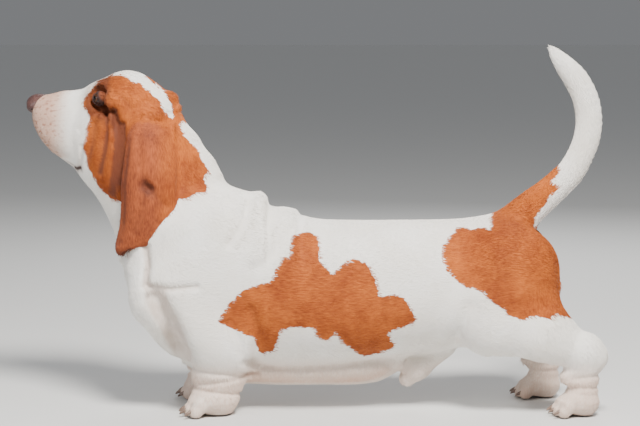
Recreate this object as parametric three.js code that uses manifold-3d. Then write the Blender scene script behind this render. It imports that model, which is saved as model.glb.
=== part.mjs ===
// A life-size basset hound standing square, head high and tail up, as a museum shows it.
//
// Millimetres. X runs from the nose (-X) to the tail (+X), Y across the animal with its
// left side at -Y, and Z up from the floor it stands on. The origin is on the floor.
//
// The animal is first described as flesh: a field that is negative inside the body and
// positive outside, blended from limbs and muscles set on the joints of a skeleton. The
// field is turned into a closed surface, thinned to few triangles, and parted with thin
// cuts into head, neck, torso, tail, legs and paws. Eyes, nose, ears and claws are fitted.
import * as THREE from 'three';
import { mergeVertices } from 'three/addons/utils/BufferGeometryUtils.js';
import Module from 'manifold-3d';

const wasm = await Module();
wasm.setup();

// Driving dimensions
const WITHERS = 376; // floor to the top of the shoulders
const BACK = 331; // floor to the top of the loin
const RIB_BREADTH = 122; // middle to the side of the ribs
const GAP = 0.3; // between pieces that touch
const HEAD_YAW = 10; // degrees, the nose turned towards the right side
const HEAD_PIVOT = [-262, 0]; // where the skull turns on the neck
const EYE_RADIUS = 11.5;
const EYE_CENTRE = [-371, 40, 544]; // on the left; the right is its mirror
const EAR_THICKNESS = 5.6;
const EAR_ROOT = 24; // how far the root of an ear reaches in
const FORELEG_LEAD = { left: 0, right: -17 }; // how far each paw is set back or forward
const HINDLEG_LEAD = { left: -6, right: -54 };
const BODY_FACES = 8300;
const EAR_FACES = 760;
const NOSE_FACES = 360;
const SIDES = { left: -1, right: 1 };

const radians = THREE.MathUtils.degToRad;
const clamp = THREE.MathUtils.clamp;

// Fields
// Each takes a point and gives its distance in millimetres from a surface, negative inside.

// A round-ended limb that tapers from a to b. A flat below 1 narrows it across the animal.
function limb(a, b, radiusA, radiusB, flat = 1) {
  const dx = b[0] - a[0];
  const dy = (b[1] - a[1]) / flat;
  const dz = b[2] - a[2];
  const lengthSquared = dx * dx + dy * dy + dz * dz;
  return (x, y, z) => {
    const px = x - a[0];
    const py = (y - a[1]) / flat;
    const pz = z - a[2];
    const t = clamp((px * dx + py * dy + pz * dz) / lengthSquared, 0, 1);
    const [qx, qy, qz] = [px - t * dx, py - t * dy, pz - t * dz];
    return (Math.sqrt(qx * qx + qy * qy + qz * qz) - radiusA - (radiusB - radiusA) * t) * Math.min(1, flat);
  };
}

// An egg-shaped muscle. Pitch tips its long axis in side view.
function muscle(centre, radii, pitch = 0) {
  const c = Math.cos(radians(pitch));
  const s = Math.sin(radians(pitch));
  const [rx, ry, rz] = radii;
  return (x, y, z) => {
    const dx = x - centre[0];
    const dz = z - centre[2];
    const px = (dx * c - dz * s) / rx;
    const py = (y - centre[1]) / ry;
    const pz = (dx * s + dz * c) / rz;
    const reach = Math.sqrt(px * px + py * py + pz * pz);
    const slope = Math.sqrt((px / rx) ** 2 + (py / ry) ** 2 + (pz / rz) ** 2);
    return slope < 1e-6 ? -Math.min(rx, ry, rz) : (reach * (reach - 1)) / slope;
  };
}

// A smooth curve through a few [place, value] pairs.
function curve(pairs) {
  const last = pairs.length - 1;
  const slope = (j) => {
    const [before, after] = [pairs[Math.max(0, j - 1)], pairs[Math.min(last, j + 1)]];
    return (after[1] - before[1]) / (after[0] - before[0]);
  };
  const slopes = pairs.map((pair, j) => slope(j));
  return (at) => {
    if (at <= pairs[0][0]) return pairs[0][1];
    if (at >= pairs[last][0]) return pairs[last][1];
    let i = 1;
    while (pairs[i][0] < at) i += 1;
    const span = pairs[i][0] - pairs[i - 1][0];
    const t = (at - pairs[i - 1][0]) / span;
    const u = 1 - t;
    const ends = pairs[i - 1][1] * u * u * (1 + 2 * t) + pairs[i][1] * t * t * (3 - 2 * t);
    return ends + (slopes[i - 1] * u - slopes[i] * t) * span * t * u;
  };
}

// A long mass given by its outline in side view and its breadth, measured along an axis
// that slopes by angle. Keel narrows the section towards its underside.
function mass({ angle = 0, top, bottom, breadth, keel = 0, square = 2.2 }) {
  const c = Math.cos(radians(angle));
  const s = Math.sin(radians(angle));
  const [topAt, bottomAt, breadthAt] = [curve(top), curve(bottom), curve(breadth)];
  const [first, last] = [breadth[0][0], breadth[breadth.length - 1][0]];
  return (x, y, z) => {
    const along = x * c + z * s;
    const up = z * c - x * s;
    const place = clamp(along, first, last);
    const high = topAt(place);
    const low = bottomAt(place);
    const half = (high - low) / 2;
    const q = (up - (high + low) / 2) / half;
    const under = clamp(-q, 0, 1);
    const width = breadthAt(place) * (1 - keel * under * under);
    const r = y / width;
    const sum = Math.abs(q) ** square + Math.abs(r) ** square;
    const reach = sum ** (1 / square);
    const ends = Math.max(first - along, along - last);
    if (reach < 0.05) return Math.max(-Math.min(half, width) * 0.9, ends);
    const steep = Math.sqrt((Math.abs(q) ** (square - 1) / half) ** 2 + (Math.abs(r) ** (square - 1) / width) ** 2);
    const distance = ((reach - 1) * reach ** (square - 1)) / steep;
    return Math.max(distance, ends);
  };
}

// The soft join of two distances: they run into one another over a width of blend.
function soften(a, b, blend) {
  const near = blend - Math.abs(a - b);
  return near <= 0 ? Math.min(a, b) : Math.min(a, b) - (near * near) / (4 * blend);
}

// Joins [field, blend] pairs in order. Outside the box they fill, the distance to it will do.
function flesh(parts, box) {
  const spare = 30;
  return (x, y, z) => {
    if (box) {
      const dx = Math.max(box[0] - x, x - box[1], 0);
      const dy = Math.max(box[2] - y, y - box[3], 0);
      const dz = Math.max(box[4] - z, z - box[5], 0);
      const away = Math.sqrt(dx * dx + dy * dy + dz * dz);
      if (away > spare) return away;
    }
    let d = 1e3;
    for (const [field, blend] of parts) d = soften(d, field(x, y, z), blend);
    return d;
  };
}

// Carves one field out of another, with the edge eased over a width of blend.
const carve = (d, tool, blend) => -soften(-d, tool, blend);

// The distance in side view from a line through a few [x, z] points.
function lineDistance(points, x, z) {
  let least = 1e9;
  for (let i = 1; i < points.length; i += 1) {
    const [ax, az] = points[i - 1];
    const dx = points[i][0] - ax;
    const dz = points[i][1] - az;
    const t = clamp(((x - ax) * dx + (z - az) * dz) / (dx * dx + dz * dz), 0, 1);
    least = Math.min(least, Math.hypot(x - ax - t * dx, z - az - t * dz));
  }
  return least;
}

// Folds of skin drawn in side view as [points, width, depth]. A negative depth is a roll.
function creases(list) {
  const reach = 2.5;
  const boxed = list.map(([points, width, depth]) => ({
    points,
    width,
    depth,
    x0: Math.min(...points.map((p) => p[0])) - reach * width,
    x1: Math.max(...points.map((p) => p[0])) + reach * width,
    z0: Math.min(...points.map((p) => p[1])) - reach * width,
    z1: Math.max(...points.map((p) => p[1])) + reach * width,
  }));
  return (x, z) => {
    let sum = 0;
    for (const { points, width, depth, x0, x1, z0, z1 } of boxed) {
      if (x < x0 || x > x1 || z < z0 || z > z1) continue;
      sum += depth * Math.exp(-((lineDistance(points, x, z) / width) ** 2));
    }
    return sum;
  };
}

// Trunk
// The ribs are long and deep. The breastbone stands out in front of the legs, and a flap of
// loose skin hangs under the ribs.
const ribs = mass({
  top: [
    [-338, 270],
    [-318, 318],
    [-280, 348],
    [-215, 368],
    [-150, WITHERS],
    [-122, 378],
    [-104, 381],
    [-92, 374],
    [-84, 357],
    [-42, 350],
    [-28, 339],
    [18, BACK],
    [197, BACK],
    [250, 333],
    [300, 338],
    [340, 334],
    [375, 306],
    [400, 266],
    [424, 225],
  ],
  bottom: [
    [-338, 232],
    [-326, 196],
    [-308, 152],
    [-284, 116],
    [-250, 88],
    [-200, 70],
    [-120, 66],
    [-40, 68],
    [60, 74],
    [144, 88],
    [232, 104],
    [300, 108],
    [360, 120],
    [400, 160],
    [424, 205],
  ],
  breadth: [
    [-338, 22],
    [-326, 52],
    [-300, 80],
    [-250, 102],
    [-190, 112],
    [-90, 119],
    [10, RIB_BREADTH],
    [110, 114],
    [190, 101],
    [250, 94],
    [310, 96],
    [360, 86],
    [400, 62],
    [424, 18],
  ],
  keel: 0.22,
  square: 2.35,
});
const bellyFlap = mass({
  top: [
    [-235, 100],
    [0, 120],
    [150, 110],
  ],
  bottom: [
    [-235, 78],
    [-190, 52],
    [-125, 41],
    [0, 39],
    [100, 43],
    [150, 66],
  ],
  breadth: [
    [-235, 12],
    [-180, 40],
    [-60, 58],
    [60, 56],
    [120, 40],
    [150, 14],
  ],
  keel: 0.3,
});
const sheath = flesh([
  [limb([228, 0, 104], [176, 0, 70], 15, 21), 1],
  [limb([176, 0, 70], [158, 0, 50], 21, 15), 14],
]);

// Neck, drawn level by level from the ears down, with the throat hanging in front of it.
const neck = mass({
  angle: -90,
  top: [
    [-520, -246],
    [-498, -226],
    [-479, -209],
    [-458, -196],
    [-439, -181],
    [-415, -168],
    [-392, -156],
    [-375, -130],
    [-330, -118],
    [-270, -150],
  ],
  bottom: [
    [-520, -330],
    [-470, -392],
    [-440, -412],
    [-415, -411],
    [-397, -402],
    [-378, -390],
    [-357, -378],
    [-331, -365],
    [-300, -353],
    [-270, -345],
  ],
  breadth: [
    [-520, 36],
    [-498, 54],
    [-470, 60],
    [-439, 62],
    [-400, 68],
    [-360, 78],
    [-320, 88],
    [-270, 70],
  ],
  keel: 0.42,
  square: 2.1,
});

// Legs
// The shoulder blade slopes forward, the upper arm back to the elbow, and the forearm is
// short and bends in at the wrist. The paw turns out a little.
function toes(centre, side, turn, length, spread, radius) {
  const list = [];
  for (let i = 0; i < 4; i += 1) {
    const offset = i - 1.5;
    const heading = radians(turn + offset * spread);
    const ahead = length - 3.2 * offset * offset;
    const [cx, cy] = [Math.cos(heading), Math.sin(heading) * side];
    const root = [centre[0] - cx * ahead * 0.3, centre[1] + cy * ahead * 0.3 + side * offset * 9, centre[2] + 6];
    const knuckle = [centre[0] - cx * ahead * 0.74, centre[1] + cy * ahead * 0.74 + side * offset * 11, radius * 1.55];
    const tip = [centre[0] - cx * ahead, centre[1] + cy * ahead + side * offset * 12, radius * 0.86];
    list.push({ root, knuckle, tip, heading, side, radius });
  }
  return list;
}

function paw(centre, list, size) {
  const parts = [[muscle(centre, size), 1]];
  for (const { root, knuckle, tip, radius } of list) {
    parts.push([limb(root, knuckle, radius * 1.05, radius), 7]);
    parts.push([limb(knuckle, tip, radius, radius * 0.95), 5]);
  }
  const heel = [centre[0] + size[0] * 0.35, centre[1], 14];
  parts.push([muscle(heel, [size[0] * 0.5, size[1] * 0.72, 13.5]), 8]);
  return flesh(parts);
}

const forePaws = {};
const hindPaws = {};
const legs = [];
for (const [name, side] of Object.entries(SIDES)) {
  const lead = FORELEG_LEAD[name];
  const wrist = [-172 + lead, side * 63, 62];
  const foot = [-180 + lead, side * 72, 25];
  forePaws[name] = toes(foot, side, 14, 40, 11, 13);
  legs.push(
    flesh(
      [
        [limb([-165, side * 58, 322], [-268, side * 56, 205], 40, 50, 0.8), 1],
        [limb([-268, side * 62, 200], [-172, side * 80, 128], 50, 44, 0.8), 30],
        [muscle([-136, side * 82, 112], [26, 22, 30]), 20],
        [limb([-170 + lead * 0.6, side * 80, 128], wrist, 45, 42, 0.82), 24],
        [limb(wrist, [-176 + lead, side * 67, 32], 42, 36, 0.86), 18],
        [paw(foot, forePaws[name], [42, 36, 23]), 16],
      ],
      [-330, -105, Math.min(0, side * 130), Math.max(0, side * 130), -5, 375],
    ),
  );
  const back = HINDLEG_LEAD[name];
  const hock = [466 + back, side * 80, 110];
  const hindFoot = [456 + back, side * 79, 22];
  hindPaws[name] = toes(hindFoot, side, 4, 36, 9, 12);
  legs.push(
    flesh(
      [
        [limb([338, side * 52, 248], [302, side * 66, 176], 80, 62, 0.72), 1],
        [limb([306, side * 70, 160], [390 + back * 0.6, side * 76, 146], 56, 46, 0.78), 30],
        [limb([364 + back * 0.5, side * 62, 204], [394 + back * 0.7, side * 74, 150], 50, 38, 0.8), 22],
        [limb([396 + back * 0.7, side * 77, 136], hock, 42, 31, 0.86), 24],
        [limb(hock, [487 + back, side * 80, 102], 28, 19), 14],
        [limb(hock, [462 + back, side * 79, 34], 30, 27, 0.92), 14],
        [muscle([440 + back, side * 80, 66], [20, 20, 12]), 14],
        [paw(hindFoot, hindPaws[name], [36, 31, 21]), 14],
      ],
      [232, 515, Math.min(0, side * 125), Math.max(0, side * 125), -5, 335],
    ),
  );
}

// Tail, carried high like a sabre: [x, z, radius] from root to tip.
const TAIL_LINE = [
  [330, 306, 36],
  [353, 333, 33],
  [376, 355, 29],
  [401, 376, 26],
  [425, 398, 24.5],
  [443, 417, 23.5],
  [459, 446, 22.5],
  [469, 475, 22.5],
  [472, 507, 22.5],
  [466, 542, 22],
  [451, 573, 21],
  [434, 595, 18],
  [417, 615, 12],
  [408, 626, 6.5],
];
const tail = flesh(
  TAIL_LINE.slice(1).map(([x, z, radius], i) => {
    const [fromX, fromZ, fromRadius] = TAIL_LINE[i];
    return [limb([fromX, 0, fromZ], [x, 0, z], fromRadius, radius, 0.92), 1.5];
  }),
  [300, 500, -35, 35, 270, 640],
);

// Head
// Drawn facing -X with its left and right halves alike, then turned a little on the neck.
// Long domed skull, deep square muzzle, pendulous lips and loose wrinkled cheeks.
const skull = mass({
  top: [
    [-500, 541],
    [-490, 546],
    [-468, 551],
    [-450, 555.5],
    [-425, 557.5],
    [-410, 561],
    [-398, 568],
    [-386, 574],
    [-372, 579.5],
    [-354, 587.5],
    [-337, 591.5],
    [-320, 590],
    [-306, 585],
    [-289, 575],
    [-270, 561],
    [-254, 548],
    [-242, 530],
  ],
  bottom: [
    [-500, 523],
    [-490, 510],
    [-470, 497],
    [-440, 482],
    [-400, 462],
    [-350, 450],
    [-300, 455],
    [-268, 480],
    [-242, 512],
  ],
  breadth: [
    [-500, 15],
    [-490, 22],
    [-468, 27],
    [-440, 30],
    [-415, 36],
    [-397, 45],
    [-376, 54],
    [-345, 60],
    [-310, 60],
    [-280, 53],
    [-256, 38],
    [-242, 14],
  ],
  square: 2.25,
});
const lips = mass({
  top: [
    [-503, 524],
    [-497, 533],
    [-480, 540],
    [-440, 542],
    [-400, 535],
    [-380, 520],
  ],
  bottom: [
    [-503, 514],
    [-500, 499],
    [-495, 486],
    [-488, 473],
    [-478, 459],
    [-466, 448.5],
    [-450, 439.5],
    [-436, 432],
    [-418, 425],
    [-398, 424],
    [-380, 432],
  ],
  breadth: [
    [-503, 9],
    [-499, 22],
    [-490, 31],
    [-470, 38],
    [-445, 42],
    [-420, 46],
    [-400, 48],
    [-380, 44],
  ],
  keel: -0.1,
  square: 2.5,
});
const head = flesh([
  [skull, 1],
  [lips, 12],
  [muscle([-366, 38, 480], [46, 23, 58], 8), 18],
  [muscle([-345, 40, 440], [40, 22, 52], -12), 18],
  [muscle([-352, 47, 538], [30, 15, 16], -12), 14],
  [muscle([-380, 35, 561], [17, 12, 8], -40), 9],
  [muscle([-256, 0, 541], [15, 13, 15]), 14],
  [muscle([-290, 50, 508], [34, 14, 16], -18), 14],
  [limb([-460, 0, 459], [-385, 0, 424], 15, 30, 1.15), 7],
  [limb([-385, 0, 424], [-340, 0, 400], 30, 40, 1.1), 20],
]);

// The eye sits deep under the brow and slants down and back. The lids are a shell over the
// ball, slit along the slant, and the lower one hangs.
const EYE_OUT = new THREE.Vector3(-0.52, 0.84, 0.12).normalize();
const EYE_SLANT = new THREE.Vector3(0.5, 0, -0.86).addScaledVector(EYE_OUT, 0.36).normalize();
const EYE_ACROSS = new THREE.Vector3().crossVectors(EYE_OUT, EYE_SLANT).normalize();

function eyeFrame(x, v, z) {
  const d = new THREE.Vector3(x - EYE_CENTRE[0], v - EYE_CENTRE[1], z - EYE_CENTRE[2]);
  return [d.dot(EYE_OUT), d.dot(EYE_SLANT), d.dot(EYE_ACROSS)];
}

const headCreases = creases([
  [[[-358, 528], [-352, 492], [-356, 452], [-366, 418]], 6, 5.5],
  [[[-342, 522], [-332, 482], [-335, 432], [-345, 384]], 8, 8.5],
  [[[-350, 498], [-344, 460], [-351, 412]], 4, -2.5],
  [[[-372, 520], [-392, 505], [-405, 490]], 5, 2.2],
  [[[-415, 424], [-404, 440], [-400, 462]], 4, 3],
  [[[-374, 500], [-380, 462], [-392, 430]], 6, 3.2],
  [[[-350, 562], [-330, 552], [-312, 530]], 6, 1.8],
  [[[-324, 500], [-322, 450], [-328, 400]], 6, 5],
]);

function headField(x, y, z) {
  const v = Math.abs(y);
  let d = head(x, v, z);
  if (d > 40) return d;
  const [out, along, across] = eyeFrame(x, v, z);
  const fromEye = Math.hypot(out, along, across);
  if (fromEye < 60) {
    const socket = Math.hypot((out - 3) / 15, along / 24, (across + 1) / 17) - 1;
    d = carve(d, socket * 12, 8);
    d = soften(d, fromEye - EYE_RADIUS - 3.4, 5);
    const slot = Math.hypot((out - 12) / 10, (along - 0.5) / 17, across / 4.4) - 1;
    d = carve(d, slot * 5, 1.2);
  }
  // The line of the mouth, under the edge of the upper lip and up into its corner.
  const mouthLine = lineDistance([[-480, 455], [-466, 441], [-449, 432.5], [-434, 426], [-418, 421], [-407, 424]], x, z);
  if (v > 8) d = carve(d, Math.hypot(mouthLine, Math.max(0, 30 - v) * 0.2) - 3.2, 2);
  // The groove below the nose.
  if (x < -470) d += 2.5 * Math.exp(-((v / 3) ** 2)) * clamp((530 - z) / 20, 0, 1);
  d += headCreases(x, z) * clamp((v - 22) / 14, 0, 1);
  return d;
}

const yawCos = Math.cos(radians(HEAD_YAW));
const yawSin = Math.sin(radians(HEAD_YAW));

// From the room to the head's own frame, and back.
function toHead(x, y) {
  const dx = x - HEAD_PIVOT[0];
  const dy = y - HEAD_PIVOT[1];
  return [HEAD_PIVOT[0] + dx * yawCos - dy * yawSin, HEAD_PIVOT[1] + dx * yawSin + dy * yawCos];
}

function fromHead([x, y, z]) {
  const dx = x - HEAD_PIVOT[0];
  const dy = y - HEAD_PIVOT[1];
  return [HEAD_PIVOT[0] + dx * yawCos + dy * yawSin, HEAD_PIVOT[1] - dx * yawSin + dy * yawCos, z];
}

// Ears
// A long thin leather hung low on the skull. Its front edge rolls in towards the cheek, so
// that the inner face makes a cup, and its tip curls forward.
const earFront = curve([
  [268, -322],
  [279, -336],
  [290, -341],
  [306, -337],
  [330, -330],
  [366, -326],
  [401, -325],
  [453, -318],
  [490, -313],
  [506, -307],
  [516, -293],
]);
const earRear = curve([
  [268, -326],
  [281, -314],
  [289, -290],
  [295, -257],
  [306, -239],
  [322, -230],
  [342, -227],
  [380, -228],
  [430, -230],
  [470, -237],
  [500, -247],
  [516, -263],
]);
const earStand = curve([
  [268, 64],
  [300, 76],
  [350, 86],
  [400, 89],
  [450, 87],
  [480, 81],
  [496, 71],
  [506, 60],
  [516, 42],
]);
const earCreases = creases([
  [[[-277, 398], [-271, 394]], 11, 7],
  [[[-271, 394], [-285, 350], [-301, 318]], 7, 2.6],
  [[[-271, 394], [-253, 372], [-241, 362]], 7, 2.4],
  [[[-277, 400], [-285, 440], [-289, 480]], 8, 2],
]);

function earField(x, v, z) {
  const level = clamp(z, 268, 516);
  const front = earFront(level);
  const rear = earRear(level);
  const width = Math.max(rear - front, 4);
  const w = clamp((x - front) / width, 0, 1);
  const dive = 18 + 20 * clamp((z - 400) / 60, 0, 1);
  const roll = 13 * Math.exp(-((w / 0.13) ** 2)) + dive * w ** 4;
  const stand = earStand(level) + 7 * Math.sin(Math.PI * w) - roll - earCreases(x, z);
  const steep = 26 * (w / 0.13) * Math.exp(-((w / 0.13) ** 2)) / (0.13 * width);
  // Behind and above, the leather thickens into the skin it grows from.
  const root = Math.max(clamp((w - 0.5) / 0.3, 0, 1) * clamp((z - 325) / 40, 0, 1), clamp((z - 462) / 30, 0, 1));
  const off = v - stand;
  const sheet = (Math.max(off, -off - EAR_ROOT * root) - 0.3 * steep) / Math.sqrt(1 + steep * steep) - EAR_THICKNESS / 2;
  const frontSlope = (earFront(level + 2) - earFront(level - 2)) / 4;
  const rearSlope = (earRear(level + 2) - earRear(level - 2)) / 4;
  const frontEdge = (front - x) / Math.hypot(1, frontSlope);
  const rearEdge = (x - rear) / Math.hypot(1, rearSlope);
  const outline = Math.max(frontEdge, rearEdge, 268 - z, z - 516, 16 - v);
  return -soften(-sheet, -outline, 3);
}

// Folds of loose skin on the trunk and neck, the same on both sides.
const bodyCreases = creases([
  [[[-294, 292], [-290, 260], [-293, 228]], 7, 9],
  [[[-286, 229], [-250, 224], [-205, 228]], 6, 5],
  [[[-276, 208], [-254, 165], [-234, 108]], 16, 19],
  [[[-124, 96], [-98, 82], [-65, 76], [22, 80], [144, 93], [236, 108]], 8, 7],
  [[[-118, 366], [-128, 330], [-150, 300]], 8, 3.5],
  [[[-60, 352], [-84, 310], [-110, 280]], 13, -3.5],
  [[[-30, 340], [-62, 296], [-96, 262]], 10, 3],
  [[[-112, 100], [-100, 140], [-112, 190]], 9, 5],
  [[[-150, 168], [-136, 138], [-130, 112]], 8, 4],
  [[[236, 112], [250, 150], [262, 190]], 14, 5],
  [[[300, 104], [330, 96], [392, 94]], 7, 2],
]);

const ring = (z, level, width) => Math.exp(-(((z - level) / width) ** 2));

function bodyField(x, y, z) {
  const v = Math.abs(y);
  let d = ribs(x, y, z);
  d = soften(d, bellyFlap(x, y, z), 16);
  d = soften(d, sheath(x, y, z), 10);
  for (const leg of legs) d = soften(d, leg(x, y, z), 30);
  d = soften(d, tail(x, y, z), 22);
  if (x < -60 && z > 240) {
    d = soften(d, neck(x, y, z), 34);
    const [hx, hy] = toHead(x, y);
    d = soften(d, headField(hx, hy, z), 22);
  }
  if (Math.abs(d) > 14) return d;
  d += bodyCreases(x, z) * clamp((v - 24) / 20, 0, 1);
  if (x < -100 && z < 100) {
    const tilt = 0.14 * (x + 180);
    d += 3.4 * ring(z + tilt, 79, 4.5) + 3 * ring(z - tilt, 60, 4) + 2.6 * ring(z + tilt, 44, 4);
  }
  if (x > 360 && z < 100) d += 2.6 * ring(z, 74 - (490 - x) * 0.12, 4.5) + 2.4 * ring(z, 52, 4);
  return d;
}

// Surfaces
// Rows of planes, closer together where the form is finer: [from, to, step].
function planes(spans) {
  const list = [spans[0][0]];
  for (const [from, to, step] of spans) {
    const count = Math.round((to - from) / step);
    for (let i = 1; i <= count; i += 1) list.push(from + ((to - from) * i) / count);
  }
  return list;
}

// Every box between the planes is six tetrahedra that share its long diagonal. Where the
// field changes sign along an edge the surface crosses it. The orders of the corners below
// keep every face turned outwards.
const TETRAHEDRA = [
  [0, 1, 3, 7],
  [0, 3, 2, 7],
  [0, 2, 6, 7],
  [0, 6, 4, 7],
  [0, 4, 5, 7],
  [0, 5, 1, 7],
];
const LONE_ORDER = [
  [0, 1, 2, 3],
  [1, 0, 3, 2],
  [2, 3, 0, 1],
  [3, 2, 1, 0],
];
const PAIR_ORDER = [
  [0, 1, 2, 3],
  [0, 2, 3, 1],
  [0, 3, 1, 2],
  [1, 2, 0, 3],
  [1, 3, 2, 0],
  [2, 3, 0, 1],
];

function surfaceOf(field, xs, ys, zs) {
  const [nx, ny, nz] = [xs.length, ys.length, zs.length];
  const values = new Float64Array(nx * ny * nz);
  const at = (i, j, k) => (k * ny + j) * nx + i;
  for (let k = 0; k < nz; k += 1) {
    for (let j = 0; j < ny; j += 1) {
      for (let i = 0; i < nx; i += 1) values[at(i, j, k)] = field(xs[i], ys[j], zs[k]) || 1e-9;
    }
  }
  const points = [];
  const faces = [];
  const known = new Map();
  const total = nx * ny * nz;
  const crossing = (p, q) => {
    const key = Math.min(p, q) * total + Math.max(p, q);
    let index = known.get(key);
    if (index === undefined) {
      const t = clamp(values[p] / (values[p] - values[q]), 0.03, 0.97);
      const place = (n) => [xs[n % nx], ys[Math.floor(n / nx) % ny], zs[Math.floor(n / (nx * ny))]];
      const [a, b] = [place(p), place(q)];
      index = points.length / 3;
      points.push(a[0] + (b[0] - a[0]) * t, a[1] + (b[1] - a[1]) * t, a[2] + (b[2] - a[2]) * t);
      known.set(key, index);
    }
    return index;
  };
  const corner = new Array(8);
  for (let k = 0; k < nz - 1; k += 1) {
    for (let j = 0; j < ny - 1; j += 1) {
      for (let i = 0; i < nx - 1; i += 1) {
        let inside = 0;
        for (let c = 0; c < 8; c += 1) {
          corner[c] = at(i + (c & 1), j + ((c >> 1) & 1), k + (c >> 2));
          if (values[corner[c]] < 0) inside += 1;
        }
        if (inside === 0 || inside === 8) continue;
        for (const tetrahedron of TETRAHEDRA) {
          const signs = tetrahedron.map((c) => values[corner[c]] < 0);
          const within = signs.filter(Boolean).length;
          if (within === 0 || within === 4) continue;
          const cut = (p, q) => crossing(corner[tetrahedron[p]], corner[tetrahedron[q]]);
          let polygon;
          if (within === 2) {
            const [a, b, c, d] = PAIR_ORDER.find((order) => signs[order[0]] && signs[order[1]]);
            polygon = [cut(a, c), cut(a, d), cut(b, d), cut(b, c)];
          } else {
            const [a, b, c, d] = LONE_ORDER[signs.indexOf(within === 1)];
            polygon = [cut(a, b), cut(a, c), cut(a, d)];
            if (within === 3) polygon.reverse();
          }
          for (let n = 2; n < polygon.length; n += 1) faces.push(polygon[0], polygon[n - 1], polygon[n]);
        }
      }
    }
  }
  return { points, faces };
}

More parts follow.
